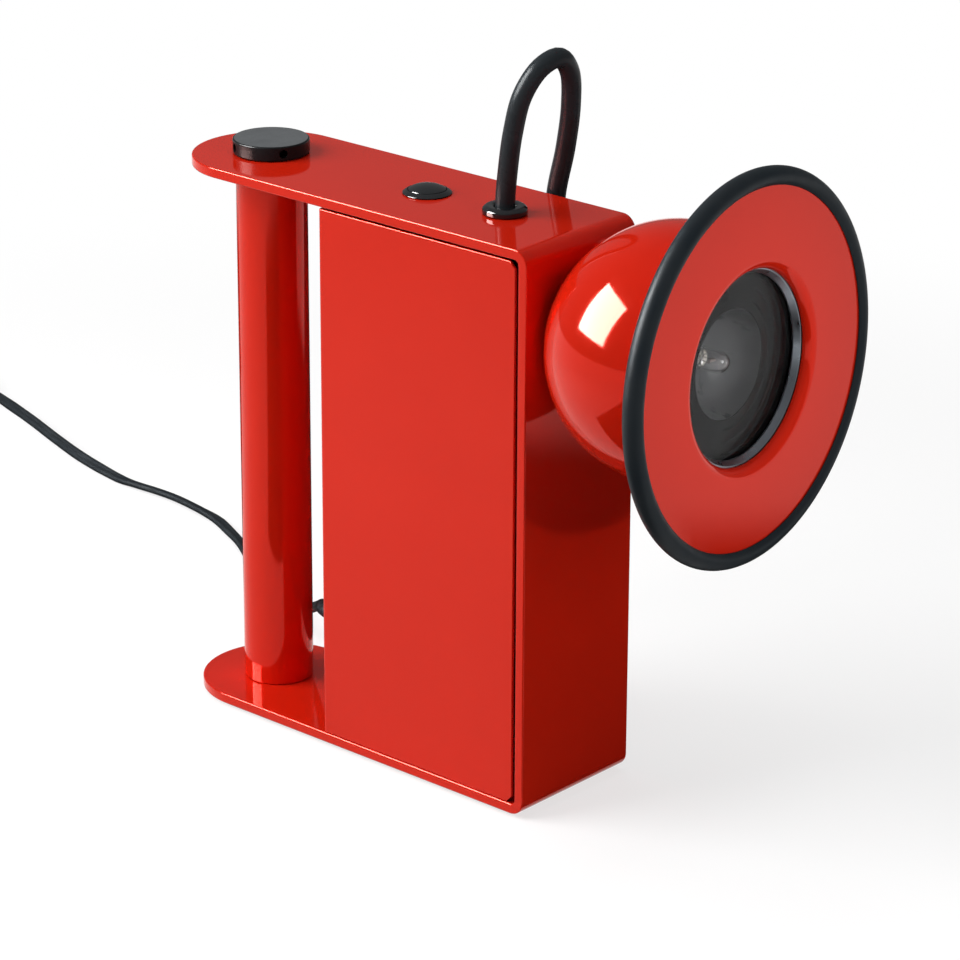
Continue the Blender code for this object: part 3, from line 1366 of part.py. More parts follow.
def build_head():
    """All that turns with the head."""
    build_ball()
    build_disc()
    glass_back = build_front_glass()
    bowl_back = build_reflector(glass_back)
    nose, back = build_lamp(bowl_back)
    build_bulb(nose)
    build_head_gland()
    return back


# Mains cord
CORD_ROUTE = (
    (0.0075, 0.0199, 0.0350),
    (-0.0008, 0.0256, 0.0300),
    (-0.0108, 0.0312, 0.0245),
    (-0.0258, 0.0396, 0.0172),
    (-0.0438, 0.0500, 0.0100),
    (-0.0648, 0.0635, 0.0052),
    (-0.0868, 0.0780, 0.0032),
    (-0.1088, 0.0923, 0.0030),
    (-0.1303, 0.1062, 0.0030),
    (-0.1477, 0.1152, 0.0030),
    (-0.1629, 0.1219, 0.0030),
    (-0.1788, 0.1252, 0.0030),
    (-0.2000, 0.1286, 0.0030),
    (-0.2142, 0.1290, 0.0030),
    (-0.2268, 0.1284, 0.0030),
    (-0.2389, 0.1287, 0.0030),
    (-0.2562, 0.1313, 0.0030),
    (-0.2803, 0.1368, 0.0030),
    (-0.3087, 0.1459, 0.0030),
    (-0.3391, 0.1565, 0.0030),
    (-0.3777, 0.1696, 0.0030),
    (-0.3968, 0.1760, 0.0030),
)
RELIEF_ROUTE = (
    (0.6963, 0.0000, 0.0002),
    (0.4182, 0.0003, 0.0002),
    (0.2523, 0.0014, 0.0000),
    (0.1121, 0.0043, -0.0008),
    (0.0000, 0.0084, -0.0021),
)


def build_relief():
    """Tapered strain relief, its collar and spigot in one, and the nut inside the box."""
    wall = COVER_REAR - TOUCH_GAP
    start = Vector((wall, 0.0, CORD_EXIT_HEIGHT))
    collar_end = start - X_AXIS * RELIEF_COLLAR_LENGTH
    nearest = TUBE_X + RELIEF_END_AHEAD
    bend = [
        Vector((nearest + (COVER_REAR - nearest) * share, y, CORD_EXIT_HEIGHT + up))
        for share, y, up in RELIEF_ROUTE
    ]
    points = smooth_route([start, collar_end, *bend], RELIEF_ROOT_RADIUS)
    total = route_length(points)
    radii = []
    for index, point in enumerate(points):
        share = route_length(points[:index + 1]) / total
        radii.append(RELIEF_ROOT_RADIUS + (RELIEF_TIP_RADIUS - RELIEF_ROOT_RADIUS) * share)
    guide = tube_along(
        "cord_relief_curve", points, RELIEF_ROOT_RADIUS, resolution=3, radii=radii, group=CUTTERS,
    )
    relief = mesh_of(guide, "cord_relief", BLACK_RUBBER)
    spot = at(wall, 0.0, CORD_EXIT_HEIGHT) @ along(-X_AXIS)
    edge = RELIEF_COLLAR_LENGTH / 2
    profile = [
        (0.0, RELIEF_COLLAR_LENGTH),
        (RELIEF_COLLAR_RADIUS - edge, RELIEF_COLLAR_LENGTH),
        (RELIEF_COLLAR_RADIUS, RELIEF_COLLAR_LENGTH - edge),
        (RELIEF_COLLAR_RADIUS, 0.0),
        (RELIEF_SPIGOT_RADIUS, 0.0),
        (RELIEF_SPIGOT_RADIUS, -RELIEF_SPIGOT_LENGTH - TOUCH_GAP),
        (0.0, -RELIEF_SPIGOT_LENGTH - TOUCH_GAP),
    ]
    root = turned("relief_root_join", profile, SMALL_STEPS, group=CUTTERS, matrix=spot)
    boolean(relief, root, "UNION")
    nut_face = CHASSIS_WALL_FACE + TOUCH_GAP
    ring(
        "relief_nut", RELIEF_SPIGOT_RADIUS + FIT_GAP, RELIEF_NUT_RADIUS, nut_face,
        nut_face + RELIEF_NUT_LENGTH,
        SMALL_STEPS, BLACK_PLASTIC, matrix=at(0.0, 0.0, CORD_EXIT_HEIGHT) @ along(X_AXIS),
    )
    return points


def coil_points():
    """The coil's middle line: in along the table, up a layer at the middle, and out again."""
    turns_in = COIL_LAYER_TURNS
    turns_out = COIL_LAYER_TURNS + COIL_EXTRA_TURN_SHARE
    total = turns_in + turns_out
    count = round(total * COIL_POINTS_A_TURN)
    outer = COIL_INNER_RADIUS + COIL_PITCH * COIL_LAYER_TURNS
    points = []
    for index in range(count + 1):
        turn = total * index / count
        if turn < turns_in:
            radius = outer - COIL_PITCH * turn
        else:
            radius = COIL_INNER_RADIUS + COIL_PITCH * (turn - turns_in)
        climb = min(1.0, max(0.0, (turn - turns_in) / COIL_CLIMB_TURNS + 1 / 2))
        smooth = climb * climb * (3 - 2 * climb)
        angle = COIL_FIRST_ANGLE + math.tau * turn
        points.append(Vector((
            TUBE_X - COIL_BEHIND_TUBE + radius * math.cos(angle),
            COIL_ACROSS + radius * math.sin(angle),
            table_height() + COIL_LAYER_STEP * smooth,
        )))
    return points


def table_height():
    """Height of a cord's middle where it lies on the table."""
    return CORD_RADIUS + FIT_GAP / 2


def least_gap(points, diameter, skip):
    """Least clear distance between stretches of one line that aren't next to each other."""
    least = math.inf
    for i in range(len(points)):
        for j in range(i + skip, len(points)):
            least = min(least, (points[j] - points[i]).length)
    return least - diameter


def build_cord(relief_points):
    """Free stretch, coil, sleeve, plug and pins."""
    tip = relief_points[-1]
    heading = (relief_points[-1] - relief_points[-2]).normalized()
    start = tip + heading * TOUCH_GAP
    coil = coil_points()
    inward = (coil[0] - coil[1]).normalized()
    diameter = CORD_RADIUS * 2
    lead_in = coil[0] + inward * diameter
    cord_end = lead_in + inward * TOUCH_GAP
    free = [Vector((TUBE_X + x, y, z)) for x, y, z in CORD_ROUTE]
    route = [start, start + heading * diameter, *free, cord_end + inward * diameter, cord_end]
    cord = square_ended(route, CORD_RADIUS * CORD_POINT_SPACING)
    tube_along("power_cord", cord, CORD_RADIUS, BLACK_RUBBER, resolution=2)
    outward = (coil[-1] - coil[-2]).normalized()
    tail = [coil[-1] + outward * diameter * (index + 1) for index in range(COIL_TAIL_STEPS)]
    plug_height = PLUG_THICKNESS / 2
    for index, point in enumerate(tail):
        point.z = coil[-1].z + (plug_height - coil[-1].z) * (index + 1) / COIL_TAIL_STEPS
    level = Vector((outward.x, outward.y, 0.0)).normalized()
    tail.append(tail[-1] + level * diameter)
    whole = [lead_in] + coil + tail
    tube_along("cord_coil", whole, CORD_RADIUS, BLACK_RUBBER, resolution=1)
    skip = COIL_POINTS_A_TURN // 2
    print("coil: least gap to itself, mm:", round(least_gap(coil, diameter, skip) * 1000, 2))
    print("cord: length on the table, m:", round(route_length(cord), 4))
    print("cord: length in the coil, m:", round(route_length(whole), 4))
    build_plug(whole[-1], level)


def build_plug(meet, level):
    """Sleeve, flat plug body and two pins, in line with the cord's end."""
    flat = Matrix.Rotation(math.atan2(level.y, level.x), 4, "Z")
    spot = Matrix.Translation(meet + level * TOUCH_GAP) @ flat
    sleeve = [
        (0.0, SLEEVE_LENGTH),
        (SLEEVE_ROOT_RADIUS, SLEEVE_LENGTH),
        (SLEEVE_TIP_RADIUS, 0.0),
        (0.0, 0.0),
    ]
    turned("plug_sleeve", sleeve, SMALL_STEPS, BLACK_RUBBER, matrix=spot @ along(X_AXIS))
    start = SLEEVE_LENGTH + TOUCH_GAP
    half = PLUG_WIDTH / 2
    neck = PLUG_NECK_WIDTH / 2
    shoulder = start + PLUG_LENGTH * PLUG_SHOULDER_SHARE
    outline = [
        (start, -neck), (shoulder, -half), (start + PLUG_LENGTH, -half),
        (start + PLUG_LENGTH, half), (shoulder, half), (start, neck),
    ]
    thick = PLUG_THICKNESS / 2
    body = outline_plate("plug_body", [outline], -thick, thick, BLACK_PLASTIC, matrix=spot)
    edge = body.modifiers.new("Edges", "BEVEL")
    edge.width = PLUG_EDGE
    edge.segments = 2
    face = start + PLUG_LENGTH + TOUCH_GAP
    for index, side in enumerate((-1, 1)):
        tip = arc((0.0, face + PIN_LENGTH - PIN_RADIUS), PIN_RADIUS, math.radians(90), 0.0, BEND_STEPS)
        tip[0] = (0.0, face + PIN_LENGTH)
        turned(
            f"plug_pin_{index + 1}", tip + [(PIN_RADIUS, face), (0.0, face)], SMALL_STEPS, STEEL,
            matrix=spot @ at(0.0, side * PIN_SPACING / 2, 0.0) @ along(X_AXIS),
        )


# Wires inside the box and the head
def build_wires(holder_back):
    """Thin wires from the cord, the switch, the transformer and the lead to their ends."""
    ways = terminal_ways()
    low = terminal_low()
    high = low + TERMINAL_HEIGHT
    block_x = terminal_face() + TERMINAL_DEPTH / 2
    spigot_end = COVER_REAR + RELIEF_SPIGOT_LENGTH + TOUCH_GAP
    gap = TOUCH_GAP
    coil_top = CORE_BOTTOM + CORE_HEIGHT
    body_low = FRAME_TOP - SWITCH_BARREL_LENGTH - TOUCH_GAP - SWITCH_BODY_HEIGHT
    step = WIRE_RADIUS * 2
    routes = {
        "mains_wire": [
            (spigot_end + gap, 0.0, CORD_EXIT_HEIGHT),
            (spigot_end + gap + step, 0.0, CORD_EXIT_HEIGHT),
            ((spigot_end + CORE_X - CORE_WIDTH / 2) / 2, ways[0] / 2, (CORD_EXIT_HEIGHT + low) / 2),
            (block_x, ways[0], low - step * 3),
            (block_x, ways[0], low + step),
        ],
        "switch_wire": [
            (block_x, ways[1], high - step),
            (block_x, ways[1], high + step * 4),
            ((block_x + SWITCH_X) / 2, ways[1], (high + body_low) / 2),
            (SWITCH_X, 0.0, body_low - step * 5),
            (SWITCH_X, 0.0, body_low - gap),
        ],
        "lead_wire": [
            (block_x, ways[2], high - step),
            (block_x, ways[2], high + step * 4),
            ((block_x + GLAND_X) / 2, ways[2], (high + FRAME_TOP - LEAD_INSIDE) / 2),
            (GLAND_X, 0.0, FRAME_TOP - LEAD_INSIDE - step * 5),
            (GLAND_X, 0.0, FRAME_TOP - LEAD_INSIDE - gap),
        ],
        "coil_wire": [
            (CORE_X - CORE_WIDTH / 4, CORE_STACK / 2 + step * 2, CORE_MIDDLE + CORE_WINDOW_HEIGHT / 2),
            (CORE_X - CORE_WIDTH / 4, CORE_STACK / 2 + step * 2, coil_top - step),
            ((block_x + CORE_X - CORE_WIDTH / 4) / 2, ways[2] + step, (coil_top + low) / 2),
            (block_x, ways[2], low - step * 4),
            (block_x, ways[2], low + step),
        ],
    }
    for name, route in routes.items():
        tube_along(name, square_ended(route, WIRE_POINT_SPACING), WIRE_RADIUS, WIRE_PLASTIC, resolution=1)
    lead_end = BALL_CENTRE + head_gland_axis() * (BALL_RADIUS - LEAD_IN_HEAD)
    holder_end = HEAD_PLACE @ Vector((holder_back, 0.0, 0.0))
    middle = HEAD_PLACE @ Vector((holder_back - HOLDER_LENGTH, HOLDER_LENGTH / 2, 0.0))
    axis = head_gland_axis()
    back_axis = (HEAD_TURN.to_3x3() @ X_AXIS).normalized()
    route = [
        lead_end - axis * gap, lead_end - axis * (gap + step * 2), middle,
        holder_end - back_axis * step * 2, holder_end - back_axis * gap,
    ]
    tube_along(
        "bulb_wire", square_ended(route, WIRE_POINT_SPACING), WIRE_RADIUS, WIRE_PLASTIC, resolution=1,
    )


def build_lamp_model():
    """Every piece of the lamp."""
    build_frame()
    build_sole()
    build_handle()
    build_cover()
    build_chassis()
    build_box_screws()
    build_transformer()
    build_switch()
    build_lead_gland()
    build_head_lead()
    build_magnet()
    holder_back = build_head()
    relief_points = build_relief()
    build_cord(relief_points)
    build_wires(holder_back)


build_lamp_model()
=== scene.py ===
"""Looks of the red table lamp: its dressed pieces, its finishes, its cords and the studio.

Metres, +Z up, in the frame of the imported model. X runs along the lamp from the handle to the
head, and the origin lies on the table under the middle of the frame.
"""
import logging
import math
from collections.abc import Callable, Iterable, Sequence
from dataclasses import dataclass
from enum import Enum
from functools import cached_property

import bmesh
import bpy
from mathutils import Euler, Matrix, Vector


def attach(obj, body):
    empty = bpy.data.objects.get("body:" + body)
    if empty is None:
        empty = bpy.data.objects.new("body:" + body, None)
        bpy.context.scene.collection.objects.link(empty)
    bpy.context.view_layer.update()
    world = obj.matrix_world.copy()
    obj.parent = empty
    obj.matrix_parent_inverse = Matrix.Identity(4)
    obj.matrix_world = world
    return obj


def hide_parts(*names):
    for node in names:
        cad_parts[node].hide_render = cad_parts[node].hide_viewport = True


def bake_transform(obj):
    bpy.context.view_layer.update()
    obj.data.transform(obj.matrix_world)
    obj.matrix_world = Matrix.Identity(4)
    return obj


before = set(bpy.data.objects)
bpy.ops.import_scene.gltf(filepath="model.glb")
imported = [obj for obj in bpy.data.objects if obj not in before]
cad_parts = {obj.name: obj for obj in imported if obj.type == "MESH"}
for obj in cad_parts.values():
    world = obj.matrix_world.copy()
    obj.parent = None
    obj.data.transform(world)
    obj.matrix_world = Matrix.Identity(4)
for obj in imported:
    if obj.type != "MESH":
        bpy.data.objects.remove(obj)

LOG = logging.getLogger("lamp")

Point2 = tuple[float, float]
Point3 = tuple[float, float, float]
Section = tuple[Point2, ...]
Route = tuple[Point3, ...]
Colour = tuple[float, float, float]
Shape = bmesh.types.BMesh
Piece = bpy.types.Object
Socket = bpy.types.NodeSocket
Feeds = dict[str | int, object]

X_AXIS = Vector((1.0, 0.0, 0.0))
Z_AXIS = Vector((0.0, 0.0, 1.0))
EVEN = (1.0, 1.0, 1.0)
GAP = 0.0003
MERGE = 0.000001
QUARTER = math.pi / 2


class Body(Enum):
    """Bodies that the pieces ride on."""

    FRAME = "frame"
    KNOB = "knob"
    BUTTON = "button"
    SEAT = "seat"
    HEAD = "head"


class Cut(Enum):
    """Ways to join two solids."""

    AWAY = "DIFFERENCE"
    SHARED = "INTERSECT"
    JOIN = "UNION"


class Lamp(Enum):
    """Kinds of studio lamp."""

    SOFT = "AREA"
    NARROW = "SPOT"


@dataclass(frozen=True)
class Places:
    """Places that more than one sub-assembly needs."""

    underside: float = 0.0015
    top: float = 0.2515
    ceiling: float = 0.2470
    floor: float = 0.0060
    front: float = 0.1057
    rear: float = -0.1057
    tube_x: float = -0.0712
    half_width: float = 0.0345
    switch_x: float = 0.0203
    gland_x: float = 0.0638
    ball_centre: Point3 = (0.156715, 0.0, 0.2125)
    ball_radius: float = 0.0540
    head_pan: float = math.radians(3.2)
    head_lift: float = math.radians(0.76)
    head_gland_turn: float = math.radians(127.0)

    def head(self) -> Matrix:
        """Place of the head, its own X pointing out of the lamp."""
        turn = Euler((0.0, -self.head_lift, self.head_pan)).to_matrix().to_4x4()
        return at(*self.ball_centre) @ turn

    def head_gland_axis(self) -> Vector:
        """Direction in which the lead's gland points out of the ball."""
        local = Vector((math.cos(self.head_gland_turn), math.sin(self.head_gland_turn), 0.0))
        return (self.head().to_3x3() @ local).normalized()


SPOT = Places()


# Mesh tools
def facing(axis: Vector) -> Matrix:
    """Turn that takes +Z to an axis."""
    return Z_AXIS.rotation_difference(axis).to_matrix().to_4x4()


def at(x: float = 0.0, y: float = 0.0, z: float = 0.0) -> Matrix:
    """A place as a matrix."""
    return Matrix.Translation((x, y, z))


def about(axis: str, angle: float) -> Matrix:
    """A turn about X, Y or Z as a matrix."""
    return Matrix.Rotation(angle, 4, axis)


def arc(centre: Point2, radius: float, start: float, end: float, steps: int) -> list[Point2]:
    """Points on an arc between two angles, ends included."""
    turns = [start + (end - start) * i / steps for i in range(steps + 1)]
    return [(centre[0] + radius * math.cos(t), centre[1] + radius * math.sin(t)) for t in turns]


def circle(radius: float, steps: int) -> list[Point2]:
    """Points round a circle."""
    return arc((0.0, 0.0), radius, 0.0, math.tau * (steps - 1) / steps, steps - 1)


def round_end(radius: float, high: float, steps: int) -> list[Point2]:
    """Section of a round end, from the axis out to its side."""
    return [(0.0, high), *arc((0.0, high - radius), radius, QUARTER, 0.0, steps)[1:]]


def placed(shape: Shape, place: Matrix) -> Shape:
    """Move a solid to its place."""
    bmesh.ops.transform(shape, matrix=place, verts=shape.verts)
    return shape


def new_verts(geom: Iterable[object]) -> list[bmesh.types.BMVert]:
    """The vertices among what an operator made."""
    return [item for item in geom if isinstance(item, bmesh.types.BMVert)]


def soften(shape: Shape, width: float, segments: int = 3, angle: float = 35.0) -> Shape:
    """Round every edge that is sharper than an angle.

    Args:
        shape: The solid, which is changed.
        width: Width of the rounding.
        segments: Faces across it.
        angle: Least angle between an edge's faces, in degrees.

    Returns:
        The same solid.
    """
    limit = math.radians(angle)
    edges = [e for e in shape.edges if len(e.link_faces) == 2 and e.calc_face_angle(0.0) > limit]
    bmesh.ops.bevel(
        shape, geom=edges, offset=width, offset_type="OFFSET", segments=segments, profile=0.5,
        affect="EDGES", clamp_overlap=True, material=-1,
    )
    return shape


def lathe(
    section: Sequence[Point2], steps: int, closed: bool = False, width: float = 0.0, segments: int = 3,
    angle: float = 35.0,
) -> Shape:
    """Spin a section of (radius, height) points about Z.

    Args:
        section: The section's points.
        steps: Faces round the turn.
        closed: Whether the last point joins the first.
        width: Width of the rounding of its edges, nought for none.
        segments: Faces across the rounding.
        angle: Least angle of an edge that is rounded, in degrees.

    Returns:
        The turned solid.
    """
    shape = bmesh.new()
    verts = [shape.verts.new((radius, 0.0, height)) for radius, height in section]
    edges = [shape.edges.new(pair) for pair in zip(verts, verts[1:] + verts[:closed])]
    bmesh.ops.spin(
        shape, geom=verts + edges, cent=(0.0, 0.0, 0.0), axis=Z_AXIS, angle=math.tau, steps=steps,
        use_merge=True,
    )
    bmesh.ops.remove_doubles(shape, verts=shape.verts, dist=MERGE)
    bmesh.ops.recalc_face_normals(shape, faces=shape.faces)
    return soften(shape, width, segments, angle) if width else shape


def prism(outline: Sequence[Point2], low: float, high: float) -> Shape:
    """A flat outline in X and Y made thick along Z.

    Args:
        outline: Points round the outline.
        low: Height of the lower face.
        high: Height of the upper face.

    Returns:
        The solid.
    """
    shape = bmesh.new()
    face = shape.faces.new([shape.verts.new((x, y, low)) for x, y in outline])
    top = new_verts(bmesh.ops.extrude_face_region(shape, geom=[face])["geom"])
    bmesh.ops.translate(shape, vec=(0.0, 0.0, high - low), verts=top)
    bmesh.ops.recalc_face_normals(shape, faces=shape.faces)
    return shape


def bar(radius: float, low: float, high: float, place: Matrix = at(), steps: int = 48) -> Shape:
    """A round bar between two heights, to cut or to show.

    Args:
        radius: Its radius.
        low: Lower end.
        high: Upper end.
        place: Where it goes, its axis along Z before.
        steps: Faces round it.

    Returns:
        The solid.
    """
    shape = bmesh.new()
    bmesh.ops.create_cone(
        shape, cap_ends=True, segments=steps, radius1=radius, radius2=radius, depth=high - low,
        matrix=at(z=(low + high) / 2),
    )
    return placed(shape, place)


def walled(shape: Shape, thickness: float) -> Shape:
    """Give a skin its wall, inwards."""
    bmesh.ops.solidify(shape, geom=list(shape.faces), thickness=thickness)
    return shape


def banded(shape: Shape, width: float, gauge: float) -> Shape:
    """Draw a line of edges along Y to a band of sheet.

    Args:
        shape: The line, which is changed.
        width: Width of the band.
        gauge: Thickness, measured inwards.

    Returns:
        The same shape.
    """
    moved = new_verts(bmesh.ops.extrude_edge_only(shape, edges=list(shape.edges))["geom"])
    bmesh.ops.translate(shape, vec=(0.0, width, 0.0), verts=moved)
    middle = sum((v.co for v in shape.verts), Vector()) / len(shape.verts)
    largest = max(shape.faces, key=lambda f: f.calc_area())
    bmesh.ops.recalc_face_normals(shape, faces=shape.faces)
    if largest.normal.dot(largest.calc_center_median() - middle) < 0:
        bmesh.ops.reverse_faces(shape, faces=shape.faces)
    walled(shape, gauge)
    bmesh.ops.recalc_face_normals(shape, faces=shape.faces)
    return shape


def folded(corners: Sequence[Point2], bend: float, gauge: float, width: float) -> Shape:
    """A strip of sheet folded along its outer line in X and Z, as wide as given along Y.

    Args:
        corners: Corners of the outer line.
        bend: Outer radius of each bend.
        gauge: Thickness, measured inwards.
        width: Width of the strip.

    Returns:
        The folded solid.
    """
    shape = bmesh.new()
    verts = [shape.verts.new((x, -width / 2, z)) for x, z in corners]
    for pair in zip(verts, verts[1:]):
        shape.edges.new(pair)
    bmesh.ops.bevel(
        shape, geom=verts[1:-1], offset=bend, offset_type="OFFSET", segments=10, profile=0.5,
        affect="VERTICES", material=-1,
    )
    return banded(shape, width, gauge)


def linked(name: str, data: bpy.types.ID) -> Piece:
    """A new object in the scene.

    Args:
        name: The object's name.
        data: Its mesh, camera or lamp.

    Returns:
        The object.
    """
    item = bpy.data.objects.new(name, data)
    bpy.context.scene.collection.objects.link(item)
    return item


def mesh_from(name: str, shape: Shape) -> bpy.types.Mesh:
    """A mesh of a solid, which is freed.

    Args:
        name: The mesh's name.
        shape: The solid.

    Returns:
        The mesh.
    """
    mesh = bpy.data.meshes.new(name)
    shape.to_mesh(mesh)
    shape.free()
    return mesh


def combined(shape: Shape, others: Iterable[Shape], cut: Cut) -> Shape:
    """Cut a solid by others, or keep or join what they share.

    Args:
        shape: The solid, which is freed.
        others: The other solids, which are freed.
        cut: What is done with them.

    Returns:
        The new solid.
    """
    target = linked("work", mesh_from("work", shape))
    helpers = []
    for other in others:
        helpers.append(linked("helper", mesh_from("helper", other)))
        modifier = target.modifiers.new("Cut", "BOOLEAN")
        modifier.operation = cut.value
        modifier.solver = "EXACT"
        modifier.object = helpers[-1]
    bpy.context.view_layer.update()
    depsgraph = bpy.context.evaluated_depsgraph_get()
    result = bmesh.new()
    result.from_mesh(bpy.data.meshes.new_from_object(target.evaluated_get(depsgraph)))
    bmesh.ops.remove_doubles(result, verts=result.verts, dist=MERGE)
    bmesh.ops.dissolve_degenerate(result, dist=MERGE, edges=result.edges)
    for item in (target, *helpers):
        bpy.data.objects.remove(item, do_unlink=True)
    return result


# Routes of cords
def eased(share: float) -> float:
    """A share that starts and ends gently."""
    return share * share * (3 - 2 * share)


def ribs(share: float, count: int) -> float:
    """Depth of even grooves along a piece, 1 at the bottom of each."""
    return (0.5 + 0.5 * math.cos(math.tau * share * count)) ** 6


def level(direction: Vector) -> Vector:
    """The level part of a direction."""
    return Vector((direction.x, direction.y, 0.0)).normalized()


def between(start: Vector, end: Vector, first: float, last: float, t: float) -> Vector:
    """The point between two others at a knot value."""
    return start.lerp(end, (t - first) / (last - first))


def curve_point(points: Sequence[Vector], share: float) -> Vector:
    """A point on the centripetal curve through four points.

    Args:
        points: The four points.
        share: Share of the stretch between the second and the third.

    Returns:
        The point on the curve.
    """
    k = [0.0]
    for p, q in zip(points, points[1:]):
        k.append(k[-1] + math.sqrt((q - p).length))
    t = k[1] + (k[2] - k[1]) * share
    low, mid, high = (between(points[i], points[i + 1], k[i], k[i + 1], t) for i in range(3))
    return between(between(low, mid, k[0], k[2], t), between(mid, high, k[1], k[3], t), k[1], k[2], t)


def even(fine: Sequence[Vector], spacing: float) -> list[Vector]:
    """The same line with points at even spacing.

    Args:
        fine: The line's own points.
        spacing: Distance between the new points.

    Returns:
        The new points.
    """
    lengths = [0.0]
    for a, b in zip(fine, fine[1:]):
        lengths.append(lengths[-1] + (b - a).length)
    count = max(2, round(lengths[-1] / spacing))
    points = []
    index = 0
    for i in range(count + 1):
        wanted = lengths[-1] * i / count
        while index < len(fine) - 2 and lengths[index + 1] < wanted:
            index += 1
        points.append(between(fine[index], fine[index + 1], lengths[index], lengths[index + 1], wanted))
    return points


def smooth_route(route: Sequence[Vector | Point3], spacing: float) -> list[Vector]:
    """Points at even spacing on a smooth curve through a route's own points.

    Args:
        route: Points that the curve passes.
        spacing: Distance between the new points.

    Returns:
        The new points.
    """
    own = [Vector(point) for point in route]
    ends = [own[0] * 2 - own[1], *own, own[-1] * 2 - own[-2]]
    fine = [curve_point(four, i / 12) for four in zip(ends, ends[1:], ends[2:], ends[3:]) for i in range(12)]
    return even([*fine, own[-1]], spacing)


def tangents(points: Sequence[Vector]) -> list[Vector]:
    """Direction of a line at each of its points."""
    padded = [points[0], *points, points[-1]]
    return [(after - before).normalized() for before, after in zip(padded, padded[2:])]


def carried_frames(points: Sequence[Vector]) -> list[Matrix]:
    """Frames along a line that turn as little as they can, their +Z along it.

    Args:
        points: The line.

    Returns:
        One matrix for each point.
    """
    directions = tangents(points)
    turn = facing(directions[0]).to_3x3()
    frames = []
    for before, point, direction in zip([directions[0], *directions], points, directions):
        if frames:
            turn = before.rotation_difference(direction).to_matrix() @ turn
        frames.append(Matrix.Translation(point) @ turn.to_4x4())
    return frames


def level_frames(points: Sequence[Vector], lean: Callable[[Vector], float]) -> list[Matrix]:
    """Frames along a line whose X stays level but for a lean of its own, their +Z along it.

    Args:
        points: The line.
        lean: Angle by which X leans up at a point.

    Returns:
        One matrix for each point.
    """
    frames = []
    for point, direction in zip(points, tangents(points)):
        side = direction.cross(Z_AXIS).normalized()
        across = side * math.cos(lean(point)) + side.cross(direction) * math.sin(lean(point))
        basis = Matrix((across, direction.cross(across), direction)).transposed().to_4x4()
        frames.append(Matrix.Translation(point) @ basis)
    return frames


def sweep(section: Sequence[Point2], frames: Sequence[Matrix], scales: Sequence[float] = ()) -> Shape:
    """Draw a closed section along frames, closed at both ends.

    Args:
        section: Points round the section.
        frames: Place of the section at each step.
        scales: Size of the section at each step, if it changes.

    Returns:
        The solid.
    """
    sizes = scales or [1.0] * len(frames)
    steps = [place @ Matrix.Scale(size, 4) for place, size in zip(frames, sizes)]
    shape = bmesh.new()
    first = shape.faces.new([shape.verts.new(steps[0] @ Vector((x, y, 0.0))) for x, y in section])
    edges = list(first.edges)
    for before, after in zip(steps, steps[1:]):
        grown = bmesh.ops.extrude_edge_only(shape, edges=edges)["geom"]
        ring = new_verts(grown)
        edges = [
            item for item in grown
            if isinstance(item, bmesh.types.BMEdge) and all(v in ring for v in item.verts)
        ]
        bmesh.ops.transform(shape, matrix=after @ before.inverted(), verts=ring)
    bmesh.ops.holes_fill(shape, edges=edges, sides=len(section))
    bmesh.ops.recalc_face_normals(shape, faces=shape.faces)
    return shape


def spiral(place: Matrix, radius: float, pitch: float, turns: int, per_turn: int) -> list[Vector]:
    """Middle line of a wound wire.

    Args:
        place: Where its first turn is centred, its axis along Z before.
        radius: Radius of the turns.
        pitch: Rise of one turn.
        turns: Number of turns.
        per_turn: Points in a turn.

    Returns:
        The points.
    """
    line = []
    for index in range(turns * per_turn + 1):
        x, y = arc((0.0, 0.0), radius, 0.0, math.tau * index / per_turn, 1)[1]
        line.append(place @ Vector((x, y, pitch * index / per_turn)))
    return line


